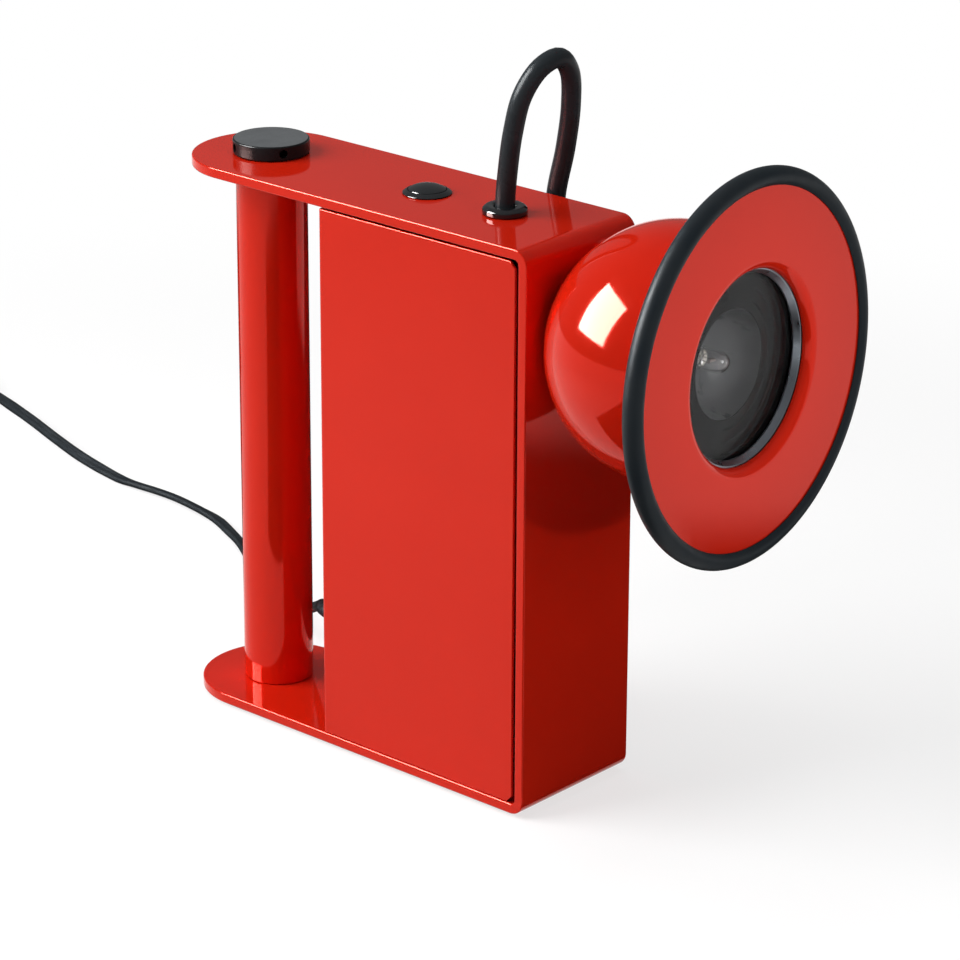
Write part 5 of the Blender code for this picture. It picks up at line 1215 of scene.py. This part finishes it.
@dataclass
class HeadAssembly(Assembly):
    """The ball, the flange disc with its rim, and the lamp inside."""

    wall: float = 0.0012
    rim_plane: float = 0.0349
    rim_ring: float = 0.07775
    rim_radius: float = 0.0042
    rim_edge: float = 0.0003
    disc_front: float = 0.0371
    disc_sheet: float = 0.0016
    disc_outer: float = 0.07835
    opening: float = 0.0404
    roll: float = 0.0044
    bezel: Section = (
        (0.0382, 0.0298), (0.0386, 0.0304), (0.0396, 0.0320), (0.0399, 0.0324), (0.0410, 0.0324),
        (0.0410, 0.0290), (0.0382, 0.0290),
    )
    bezel_edge: float = 0.00015
    pane: Section = ((0.0, 0.0287), (0.0406, 0.0287), (0.0406, 0.0262), (0.0, 0.0262))
    pane_edge: float = 0.0003
    dish_front: float = 0.0259
    mouth: float = 0.0376
    flange: float = 0.0455
    flange_sheet: float = 0.0012
    flange_back: float = 0.0028
    lip: Point2 = (0.0007, 0.0010)
    ridges: Point2 = (0.0322, 0.0269)
    ridge_top: Point2 = (0.0004, 0.0002)
    ridge_foot: float = 0.0003
    dish_edge: float = 0.0003
    bowl_radius: float = 0.0228
    bowl_rim: float = 0.0244
    bowl_floor: float = 0.0054
    bowl_hole: float = 0.0085
    shell: float = 0.0010
    holder: Section = (
        (0.0, 0.0054), (0.0082, 0.0054), (0.0082, 0.0041), (0.0130, 0.0041), (0.0130, 0.0016),
        (0.0078, 0.0016), (0.0078, -0.0106), (0.0, -0.0106),
    )
    holder_edge: float = 0.0004
    bulb_radius: float = 0.0048
    bulb_top: float = 0.0237
    bulb_foot: Section = ((0.0048, 0.0116), (0.00384, 0.0098), (0.003744, 0.0057), (0.0, 0.0057))
    hollow: Section = ((0.0, 0.0227), (0.0026, 0.0218), (0.0036, 0.0190), (0.0036, 0.0120), (0.0, 0.0110))
    contacts: Point2 = (-0.002, 0.002)
    contact_radius: float = 0.0006
    contact_span: Point2 = (0.0004, 0.0098)
    contact_edge: float = 0.0002
    contact_bore: float = 0.0009
    contact_hole: Point2 = (0.0001, 0.0074)
    filament: float = 0.00016
    filament_turn: float = 0.0006
    filament_half: float = 0.0017
    filament_height: float = 0.0160
    filament_turns: int = 9
    leg: Route = ((0.0, 0.0017, 0.0100), (0.0, 0.0018, 0.0130), (0.0004, 0.0018, 0.0152))

    def build(self) -> None:
        """Make the pieces."""
        self.build_ball()
        self.build_disc()
        self.build_rim()
        bezel = lathe(self.bezel, 144, True, self.bezel_edge, 2, 25.0)
        self.turned("glass_bezel", bezel, BEZEL, "bezel_ring")
        pane = lathe(self.pane, 128, False, self.pane_edge, 2, 60.0)
        self.turned("glass_pane", pane, GLASS, "front_glass")
        self.build_reflector()
        self.build_bulb()

    def turned(
        self, name: str, shape: Shape, finish: Finish, *nodes: str, sharp: float = 40.0, place: Matrix = at(),
    ) -> Piece:
        """Show a piece that is turned about the head's axis."""
        place = SPOT.head() @ facing(X_AXIS) @ place
        return self.show(name, shape, finish, *nodes, place=place, body=Body.HEAD, sharp=sharp)

    def build_ball(self) -> None:
        """Make the hollow ball, cut open where the flange closes it."""
        shape = bmesh.new()
        bmesh.ops.create_uvsphere(shape, u_segments=128, v_segments=96, radius=SPOT.ball_radius)
        bmesh.ops.bisect_plane(
            shape, geom=[*shape.verts, *shape.edges, *shape.faces], plane_no=Z_AXIS,
            plane_co=(0.0, 0.0, self.disc_front - self.roll - GAP), clear_outer=True,
        )
        bmesh.ops.recalc_face_normals(shape, faces=shape.faces)
        if min(shape.faces, key=lambda f: f.calc_center_median().z).normal.z > 0:
            bmesh.ops.reverse_faces(shape, faces=shape.faces)
        self.turned("ball_spun", walled(shape, self.wall), RED, "ball_shell")

    def build_disc(self) -> None:
        """Make the flange disc with its lip rolled into the opening."""
        back = self.disc_front - self.disc_sheet
        centre = (self.opening + self.roll, self.disc_front - self.roll)
        front = arc(centre, self.roll, math.pi, QUARTER, 12)
        behind = arc(centre, self.roll - self.disc_sheet, QUARTER, math.pi, 8)
        section = [*front, (self.disc_outer, self.disc_front), (self.disc_outer, back), *behind]
        self.turned("flange_disc", lathe(section, 160, True), RED, "front_disc")

    def build_rim(self) -> None:
        """Make the rubber rim, slotted over the disc's edge."""
        front, back = self.disc_front + GAP, self.disc_front - self.disc_sheet - GAP
        high, low = (math.asin((z - self.rim_plane) / self.rim_radius) for z in (front, back))
        section = arc((self.rim_ring, self.rim_plane), self.rim_radius, math.pi - high, -math.pi - low, 36)
        section += [(self.disc_outer + GAP, back), (self.disc_outer + GAP, front)]
        self.turned("rim_bead", lathe(section, 192, True, self.rim_edge, 2, 60.0), RIM, "rim_trim")

    def build_reflector(self) -> None:
        """Make the stepped dish and the deep bowl that the bulb stands in; the bowl is a flat grey, a painted
        reflection.
        """
        front, shell, drop = self.dish_front, self.shell, self.flange_sheet
        last = math.acos(self.bowl_hole / self.bowl_radius)
        depth = (self.bowl_rim - self.bowl_floor) / math.sin(last)
        turns = [last * i / 20 for i in range(21)]
        bowl = [(self.bowl_radius * math.cos(t), self.bowl_rim - depth * math.sin(t)) for t in turns]
        behind = [((self.bowl_radius + shell) * math.cos(t), self.bowl_rim - shell - depth * math.sin(t))
                  for t in turns[:-1]]
        behind.append((self.bowl_hole, self.bowl_floor - shell))
        face = [(self.mouth, front), (self.mouth - self.lip[0], front - self.lip[1])]
        for radius in self.ridges:
            share = (self.mouth - radius) / (self.mouth - self.bowl_radius)
            height = front - drop + (self.bowl_rim - front + drop) * share
            face.append((radius + self.ridge_top[0], height + self.ridge_top[1]))
            face.append((radius, height - self.ridge_foot))
        back = (self.mouth + shell, front - self.flange_back)
        section = [*face, *bowl, *behind[::-1], back, (self.flange, front - drop), (self.flange, front)]
        dish = lathe(section, 160, True, self.dish_edge, 3, 18.0)
        # The bowl's faces take the second material, a grey that paints in the bowl's reflection.
        for panel in dish.faces:
            middle = panel.calc_center_median()
            if math.hypot(middle.x, middle.y) < self.bowl_radius and middle.z < self.bowl_rim:
                panel.material_index = 1
        piece = self.turned("reflector_dish", dish, DISH, "reflector")
        piece.data.materials.append(PAINTED_BOWL_REFLECTION.material)

    def build_bulb(self) -> None:
        """Make the ceramic holder, and the capsule bulb with its filament and pins."""
        holes = [bar(self.contact_bore, *self.contact_hole, at(0.0, y), 24) for y in self.contacts]
        holder = combined(lathe(self.holder, 64, False, self.holder_edge, 2), holes, Cut.AWAY)
        self.turned("holder_body", holder, CERAMIC, "lamp_holder")
        outer = lathe([*round_end(self.bulb_radius, self.bulb_top, 12), *self.bulb_foot], 64)
        capsule = combined(outer, [lathe(self.hollow, 48)], Cut.AWAY)
        self.turned("bulb_capsule", capsule, QUARTZ, "halogen_bulb", sharp=60.0)
        turns = self.filament_turns
        start = at(0.0, -self.filament_half, self.filament_height) @ about("X", QUARTER)
        coil = spiral(start, self.filament_turn, -self.filament_half * 2 / turns, turns, 12)
        leg_in = [Vector((x, -y, z)) for x, y, z in self.leg]
        leg_out = [Vector(point) for point in self.leg[::-1]]
        wire = sweep(circle(self.filament, 8), carried_frames([*leg_in, *coil, *leg_out]))
        self.turned("bulb_filament", wire, TUNGSTEN)
        for index, y in enumerate(self.contacts):
            pin = bar(self.contact_radius, *self.contact_span, steps=20)
            name = f"bulb_contact_{index + 1}"
            self.turned(name, soften(pin, self.contact_edge, 2), NICKEL, place=at(0.0, y))


@dataclass
class MainsAssembly(Assembly):
    """The strain relief, the flat twin cord with its stored coil, its ties and the plug."""

    start: Point3 = (-0.0111, 0.0, 0.0436)
    half_width: float = 0.0028
    half_thickness: float = 0.0015
    spacing: float = 0.0030
    relief_spacing: float = 0.0006
    sunk: float = 0.0004
    collar_length: float = 0.0030
    collar_edge: float = 0.0009
    collar: Section = (
        (0.0, 0.0030), (0.0062, 0.0030), (0.0062, 0.0), (0.0040, 0.0), (0.0040, -0.0072), (0.0, -0.0072),
    )
    root: float = 0.0040
    tip: float = 0.0030
    groove: float = 0.00032
    coil_x: float = -0.4926
    coil_y: float = 0.1394
    coil_first: float = math.radians(71.3)
    coil_inner: float = 0.0240
    coil_pitch: float = 0.0062
    coil_turns: int = 3
    coil_extra: float = 0.36
    coil_low: float = 0.0024
    coil_step: float = 0.0032
    coil_reach: float = 0.046
    lying: float = -0.15
    lift: float = 0.0002
    tie_half: float = 0.0028
    tie_gauge: float = 0.0004
    tie_edge: float = 0.00012
    tie_spacing: float = 0.0016
    tie_low: float = 0.0005
    tie_over: float = 0.0006
    tie_inside: float = 0.0030
    tie_outside: float = 0.0024
    tie_angles: Point2 = (math.radians(322.0), math.radians(150.0))
    sleeve_length: float = 0.020
    sleeve_root: float = 0.0048
    sleeve_tip: float = 0.0034
    sleeve_groove: float = 0.0004
    plug_length: float = 0.036
    plug_width: float = 0.0353
    plug_thickness: float = 0.0137
    plug_neck: float = 0.0065
    plug_shoulder: float = 0.45
    plug_edge: float = 0.0028
    plug_side: float = 0.0003
    plug_border: float = 0.0022
    plug_step: float = 0.0005
    pin_radius: float = 0.0020
    pin_length: float = 0.0190
    pin_offset: float = 0.0093
    pin_foot: Section = ((0.0020, 0.0102), (0.0018, 0.0100), (0.0018, 0.0), (0.0, 0.0))
    cuff_edge: float = 0.00005
    cuff: Section = ((0.00182, 0.0), (0.00182, 0.0099), (0.0020, 0.0099), (0.0020, 0.0))
    relief: Route = (
        (-0.0232, 0.0000, 0.0438), (-0.0347, 0.0003, 0.0438), (-0.0415, 0.0014, 0.0436),
        (-0.0472, 0.0043, 0.0428), (-0.0518, 0.0084, 0.0415),
    )
    route: Route = (
        (-0.0637, 0.0199, 0.0350), (-0.0720, 0.0256, 0.0300), (-0.0820, 0.0312, 0.0245),
        (-0.0970, 0.0396, 0.0172), (-0.1150, 0.0500, 0.0100), (-0.1360, 0.0635, 0.0052),
        (-0.1580, 0.0780, 0.0032), (-0.1800, 0.0923, 0.0030), (-0.2015, 0.1062, 0.0030),
        (-0.2189, 0.1152, 0.0030), (-0.2341, 0.1219, 0.0030), (-0.2500, 0.1252, 0.0030),
        (-0.2712, 0.1286, 0.0030), (-0.2854, 0.1290, 0.0030), (-0.2980, 0.1284, 0.0030),
        (-0.3101, 0.1287, 0.0030), (-0.3274, 0.1313, 0.0030), (-0.3515, 0.1368, 0.0030),
        (-0.3799, 0.1459, 0.0030), (-0.4103, 0.1565, 0.0030), (-0.4489, 0.1696, 0.0030),
        (-0.4680, 0.1760, 0.0030),
    )
    leans: Section = (
        (-0.4720, 0.0), (-0.4550, 12.0), (-0.4200, 66.0), (-0.3620, 56.0), (-0.3350, 30.0), (-0.3160, 12.0),
        (-0.3000, -14.0), (-0.2500, -18.0), (-0.2280, 4.0), (-0.2000, -16.0), (-0.1200, 10.0),
        (-0.0700, 55.0), (-0.0100, 80.0),
    )

    def build(self) -> None:
        """Make the pieces."""
        relief = self.build_relief()
        path = self.path()
        shape = sweep(self.twin_section(), level_frames(path, self.lean))
        cord = self.show("twin_cord", shape, SHEATH, "power_cord", "cord_coil", sharp=70.0)
        ties = [self.build_tie(number, angle) for number, angle in enumerate(self.tie_angles, 1)]
        plug = self.build_plug(path)

    def lean(self, point: Vector) -> float:
        """Angle by which the flat cord leans up at a point of its free stretch.

        Args:
            point: The point.

        Returns:
            The angle in radians, nought in the coil.
        """
        if math.hypot(point.x - self.coil_x, point.y - self.coil_y) < self.coil_reach:
            return 0.0
        for (x0, a0), (x1, a1) in zip(self.leans, self.leans[1:]):
            if point.x <= x1:
                share = max(0.0, (point.x - x0) / (x1 - x0))
                return math.radians(a0 + (a1 - a0) * eased(share))
        return math.radians(self.leans[-1][1])

    def coil_points(self) -> list[Vector]:
        """Middle line of the coil: in along the table, up a layer, and out again.

        Returns:
            The points.
        """
        total = self.coil_turns * 2 + self.coil_extra
        count = round(total * 48)
        points = []
        for index in range(count + 1):
            past = total * index / count - self.coil_turns
            radius = self.coil_inner + self.coil_pitch * abs(past)
            angle = self.coil_first + math.tau * (past + self.coil_turns)
            climb = eased(min(1.0, max(0.0, past / 0.5 + 0.5)))
            x, y = self.coil_x + radius * math.cos(angle), self.coil_y + radius * math.sin(angle)
            points.append(Vector((x, y, self.coil_low + self.coil_step * climb)))
        return points

    def path(self) -> list[Vector]:
        """Middle line of the whole cord, from inside the relief to the plug's sleeve.

        Returns:
            Points a few millimetres apart.
        """
        start, width = Vector(self.start), self.half_width * 2
        free = [Vector(p) for p in self.route]
        for point in free:
            if point.x < self.lying:
                turn = abs(math.sin(self.lean(point)))
                point.z = self.lift + self.half_thickness + (self.half_width - self.half_thickness) * turn
        coil = self.coil_points()
        lead_in = coil[0] + (coil[0] - coil[1]).normalized() * width
        outward = (coil[-1] - coil[-2]).normalized()
        tail = [coil[-1] + outward * width * step for step in (1, 2, 3)]
        for step, point in enumerate(tail, 1):
            point.z = coil[-1].z + (self.plug_thickness / 2 - coil[-1].z) * step / 3
        tail.append(tail[-1] + level(outward) * width)
        first = [start - X_AXIS * self.sunk * 5, start - X_AXIS * self.collar_length, *self.relief]
        return smooth_route([*first, *free, lead_in, *coil, *tail], self.spacing)

    def twin_section(self) -> list[Point2]:
        """Section of the flat twin cord: two round cores side by side, with a groove between.

        Returns:
            The points.
        """
        core, open_at = self.half_width - self.half_thickness, math.radians(126.0)
        right = arc((core, 0.0), self.half_thickness, -open_at, open_at, 12)
        left = arc((-core, 0.0), self.half_thickness, math.pi - open_at, math.pi + open_at, 12)
        return [*right, *left]

    def build_relief(self) -> Piece:
        """Make the tapered strain relief with its collar and shallow grooves.

        Returns:
            The piece.
        """
        start = Vector(self.start)
        route = [start - X_AXIS * self.sunk, start - X_AXIS * self.collar_length, *self.relief]
        points = smooth_route(route, self.relief_spacing)
        scales = []
        for index in range(len(points)):
            share = index / (len(points) - 1)
            cut = self.groove * ribs(share, 9) if 0.12 < share < 0.94 else 0.0
            scales.append((self.root + (self.tip - self.root) * share - cut) / self.root)
        body = sweep(circle(self.root, 40), carried_frames(points), scales)
        collar = lathe(self.collar, 64, False, self.collar_edge, 3, 60.0)
        relief = combined(body, [placed(collar, at(*start) @ facing(-X_AXIS))], Cut.JOIN)
        return self.show("strain_relief", relief, SHEATH, "cord_relief", sharp=50.0)

    def build_tie(self, number: int, angle: float) -> Piece:
        """Make a flat strap round the coil's turns.

        Args:
            number: Number of the tie.
            angle: Where on the coil it sits.

        Returns:
            The piece.
        """
        inner = self.coil_inner - self.tie_inside
        outer = self.coil_inner + self.coil_pitch * self.coil_turns + self.tie_outside
        low, high = self.tie_low, self.coil_low + self.coil_step + self.half_thickness + self.tie_over
        half, middle = (high - low) / 2, (high + low) / 2
        section = arc((outer, middle), half, -QUARTER, QUARTER, 10)
        section += arc((inner, middle), half, QUARTER, QUARTER * 3, 10)
        line = [Vector((radius, -self.tie_half, z)) for radius, z in section]
        strap = bmesh.new()
        verts = [strap.verts.new(p) for p in even([*line, line[0]], self.tie_spacing)[:-1]]
        for pair in zip(verts, verts[1:] + verts[:1]):
            strap.edges.new(pair)
        strap = soften(banded(strap, self.tie_half * 2, self.tie_gauge), self.tie_edge, 2, 60.0)
        place = at(self.coil_x, self.coil_y) @ about("Z", angle)
        return self.show(f"coil_tie_{number}", strap, RUBBER, place=place)

    def build_plug(self, path: list[Vector]) -> list[Piece]:
        """Make the ribbed sleeve, the flat plug body and its two pins.

        Args:
            path: Middle line of the cord.

        Returns:
            The pieces.
        """
        ahead = level(path[-1] - path[-2])
        place = at(*(path[-1] + ahead * GAP)) @ about("Z", math.atan2(ahead.y, ahead.x))
        section = [(0.0, self.sleeve_length)]
        for index in range(41):
            share = 1.0 - index / 40
            size = self.sleeve_tip + (self.sleeve_root - self.sleeve_tip) * share
            cut = self.sleeve_groove * ribs(share, 5) if 0.05 < share < 0.95 else 0.0
            section.append((size - cut, self.sleeve_length * share))
        sleeve = lathe([*section, (0.0, 0.0)], 40)
        turn = place @ facing(X_AXIS)
        pieces = [self.show("plug_relief", sleeve, SHEATH, "plug_sleeve", place=turn, sharp=50.0)]
        start, half, neck = self.sleeve_length + GAP, self.plug_width / 2, self.plug_neck
        widest, end = start + self.plug_length * self.plug_shoulder, start + self.plug_length
        outline = [(start, -neck), (widest, -half), (end, -half), (end, half), (widest, half), (start, neck)]
        body = prism(outline, -self.plug_thickness / 2, self.plug_thickness / 2)
        soften(body, self.plug_edge, 5, 25.0)
        for side in (-1.0, 1.0):
            faces = [f for f in body.faces if f.normal.z * side > 0.99 and f.calc_area() > self.plug_side]
            bmesh.ops.inset_region(body, faces=faces, thickness=self.plug_border, depth=0.0)
            bmesh.ops.inset_region(body, faces=faces, thickness=self.plug_step, depth=-self.plug_step)
        pieces.append(self.show("plug_moulding", body, PLASTIC, "plug_body", place=place))
        for number, side in ((1, -1), (2, 1)):
            turn = place @ at(end + GAP, side * self.pin_offset) @ facing(X_AXIS)
            pin = lathe([*round_end(self.pin_radius, self.pin_length, 8), *self.pin_foot], 32)
            cuff = lathe(self.cuff, 32, True, self.cuff_edge, 1)
            pieces += [
                self.show(f"pin_{number}", pin, NICKEL, f"plug_pin_{number}", place=turn, sharp=30.0),
                self.show(f"pin_cuff_{number}", cuff, PLASTIC, place=turn),
            ]
        return pieces


# Studio
def grey(value: float) -> tuple[float, ...]:
    """A grey as a socket takes it."""
    return (value, value, value, 1.0)


def flat(size: float) -> Shape:
    """A square in X and Y, as wide as twice its size.

    Args:
        size: Half of its side.

    Returns:
        The square.
    """
    shape = bmesh.new()
    bmesh.ops.create_grid(shape, x_segments=1, y_segments=1, size=size)
    return shape


def aimed(direction: Point3, distance: float, target: Point3 = (0.06, 0.0, 0.15)) -> Matrix:
    """Place of something that faces a target from a direction, its -Z towards it."""
    way = Vector(direction).normalized()
    return at(*(Vector(target) + way * distance)) @ way.to_track_quat("Z", "Y").to_matrix().to_4x4()


@dataclass
class Studio:
    """Camera, floor, background and lamps."""

    eye: Point3 = (1.10242, -1.18345, 0.73327)
    azimuth: float = math.radians(41.629)
    elevation: float = math.radians(20.842)
    roll: float = math.radians(0.233)
    focal_pixels: float = 3982.573
    image_side: float = 960.0
    sensor: float = 36.0
    ambient: float = 0.06
    background: float = 1.0
    floor_size: float = 12.0
    floor_glow: float = 0.675
    floor_seen: float = 0.28
    floor_bounce: float = 0.52
    floor_near: float = 0.38
    floor_far: float = 0.80
    hood_radius: float = 5.0
    hood_low: Colour = (0.08, 0.081, 0.083)
    hood_high: Colour = (0.34, 0.342, 0.347)
    # Painted shade: dark sheets on the floor that only glossy rays see, which darken the floor in the lamp's
    # reflections, most near its front foot.
    shade_sheet_glow: float = 0.012
    shade_sheet_height: float = 0.0006
    shade_sheet_centre: Point3 = (0.1057, 0.0, 0.0)
    shade_sheets: tuple[tuple[str, Section, float, float], ...] = (
        ("shade_sheet_ahead", ((0.1065, -0.048), (0.52, 0.417), (0.52, 0.9), (0.1065, 0.9)), 0.40, 0.49),
        ("shade_sheet_behind", ((0.1065, 0.06), (0.1065, 1.1), (-1.0, 1.1), (-1.0, 0.06)), 0.8, 1.05),
        ("shade_sheet_beside", ((0.125, -0.040), (0.67, -0.13), (0.67, -0.65), (0.19, -0.65), (-0.015, -0.205)),
         0.55, 0.75),
    )
    soft_lamps: tuple[tuple[str, Point3, float, float, float], ...] = (
        ("key", (-0.570, -0.625, 0.560), 1.25, 0.95, 24.8),
        ("front_fill", (0.93, -0.10, 0.30), 1.35, 0.6, 7.0),
        ("overhead", (0.0, 0.0, 1.0), 1.6, 1.2, 14.0),
    )
    spot_from: Point3 = (0.97, -0.20, 0.10)
    spot_target: Point3 = (0.190, 0.005, 0.213)
    spot_distance: float = 1.4
    spot_width: float = 0.18
    spot_power: float = 32.0
    window_from: Point3 = (-0.575, -0.633, 0.520)
    window_distance: float = 1.10
    window_side: float = 0.68
    window_glow: float = 60.0

    def build(self) -> None:
        """Set up the studio."""
        self.build_camera()
        self.build_world()
        self.build_floor()
        self.build_hood()
        self.build_shade_sheets()
        for name, direction, distance, side, power in self.soft_lamps:
            self.add_lamp(name, Lamp.SOFT, aimed(direction, distance), power, shape="SQUARE", size=side)
        angle = 2 * math.atan(self.spot_width / 2 / self.spot_distance)
        place = aimed(self.spot_from, self.spot_distance, self.spot_target)
        self.add_lamp(
            "head_spot", Lamp.NARROW, place, self.spot_power, spot_size=angle, spot_blend=0.15,
            shadow_soft_size=0.05,
        )
        card = placed(flat(self.window_side / 2), aimed(self.window_from, self.window_distance))
        graph = self.staged("window", card)
        graph.end("Material", graph.add("Emission", {"Strength": self.window_glow}))

    def build_camera(self) -> None:
        """Set the camera at the photograph's angle."""
        a, e = self.azimuth, self.elevation
        forward = Vector((-math.sin(a) * math.cos(e), math.cos(a) * math.cos(e), -math.sin(e)))
        across = Vector((math.cos(a), math.sin(a), 0.0))
        upright = across.cross(forward)
        right = across * math.cos(self.roll) + upright * math.sin(self.roll)
        up = upright * math.cos(self.roll) - across * math.sin(self.roll)
        data = bpy.data.cameras.new("camera")
        data.sensor_width = self.sensor
        data.lens = self.focal_pixels / self.image_side * self.sensor
        data.clip_start, data.clip_end = 0.05, 50.0
        camera = linked("camera", data)
        camera.matrix_world = at(*self.eye) @ Matrix((right, up, -forward)).transposed().to_4x4()
        bpy.context.scene.camera = camera

    def build_world(self) -> None:
        """Make it white where it is seen, a softer light where it lights."""
        world = bpy.data.worlds.new("studio")
        bpy.context.scene.world = world
        graph = Graph(world, bare=True)
        light, seen = (
            graph.add("Background", {"Color": grey(1.0), "Strength": strength})
            for strength in (self.ambient, self.background)
        )
        graph.end("World", graph.add("MixShader", {"Fac": graph.eye(), 1: light, 2: seen}))

    def build_floor(self) -> None:
        """Lay a plain pale floor that keeps the lamp's shadow and fades into the background."""
        graph = self.staged("floor", flat(self.floor_size), everywhere=True)
        eye = graph.eye()
        seen, bounce = (
            graph.add("BsdfDiffuse", {"Color": grey(shade)}) for shade in (self.floor_seen, self.floor_bounce)
        )
        glow, white = (
            graph.add("Emission", {"Strength": strength}) for strength in (self.floor_glow, self.background)
        )
        near = graph.add("MixShader", {"Fac": eye, 1: bounce, 2: graph.add("AddShader", {0: seen, 1: glow})})
        fade = graph.fade((0.0, 0.0, 0.0), self.floor_near, self.floor_far)
        share = graph.add("Math", {0: fade, 1: eye}, operation="MULTIPLY")
        graph.end("Material", graph.add("MixShader", {"Fac": share, 1: near, 2: white}))

    def build_hood(self) -> None:
        """Raise a dim tent that only glossy surfaces see, as the dark room round a small set."""
        shape = bmesh.new()
        bmesh.ops.create_uvsphere(shape, u_segments=48, v_segments=24, radius=self.hood_radius)
        bmesh.ops.bisect_plane(
            shape, geom=[*shape.verts, *shape.edges, *shape.faces], plane_co=(0.0, 0.0, 0.0),
            plane_no=-Z_AXIS, clear_outer=True,
        )
        graph = self.staged("hood", shape)
        height = graph.add("SeparateXYZ", {0: graph.add("TexCoord", out="Object")}, "Z")
        share = graph.ramp(height, -2.0, self.hood_radius)
        shade = graph.blend(share, self.hood_low, self.hood_high)
        graph.end("Material", graph.add("Emission", {"Color": shade, "Strength": 1.0}))

    def build_shade_sheets(self) -> None:
        """Lay painted shade on the floor on three sides of the lamp: dark sheets that only glossy rays see,
        soft at their edges, which darken the floor in the lamp's reflections, most near its front foot.
        """
        for name, ends, near, far in self.shade_sheets:
            shape = bmesh.new()
            shape.faces.new([shape.verts.new((x, y, self.shade_sheet_height)) for x, y in ends])
            graph = self.staged(name, shape)
            dark, clear = graph.add("Emission", {"Strength": self.shade_sheet_glow}), graph.add("BsdfTransparent")
            fade = graph.fade(self.shade_sheet_centre, near, far)
            graph.end("Material", graph.add("MixShader", {"Fac": fade, 1: dark, 2: clear}))

    def staged(self, name: str, shape: Shape, everywhere: bool = False) -> Graph:
        """Stage a shape.

        Args:
            name: The object's name.
            shape: Its mesh, which is freed.
            everywhere: Whether every ray sees it, or glossy ones alone.

        Returns:
            The nodes of its material, still bare.
        """
        item = linked(name, mesh_from(name, shape))
        for ray in () if everywhere else ("camera", "diffuse", "shadow", "transmission"):
            setattr(item, "visible_" + ray, False)
        material = bpy.data.materials.new(name)
        item.data.materials.append(material)
        return Graph(material, bare=True)

    def add_lamp(self, name: str, kind: Lamp, place: Matrix, power: float, **sizes: object) -> None:
        """Add a lamp that neither the camera nor a gloss sees.

        Args:
            name: The lamp's name.
            kind: Its kind.
            place: Where it stands.
            power: Power in watts.
            sizes: What else it is set to.
        """
        data = bpy.data.lights.new(name, kind.value)
        data.energy = power
        for key, value in sizes.items():
            setattr(data, key, value)
        lamp = linked(name, data)
        lamp.matrix_world = place
        lamp.visible_camera = lamp.visible_glossy = False


def main() -> None:
    """Build the lamp and the studio."""
    logging.basicConfig(level=logging.INFO, format="%(name)s: %(message)s")
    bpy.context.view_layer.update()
    bpy.context.scene.view_settings.view_transform = "Standard"
    Studio().build()
    for kind in (MainsAssembly, LeadAssembly, FrameAssembly, BoxAssembly, HeadAssembly):
        LOG.info("building %s", kind.__name__)
        kind().build()


if __name__ == "__main__":
    main()
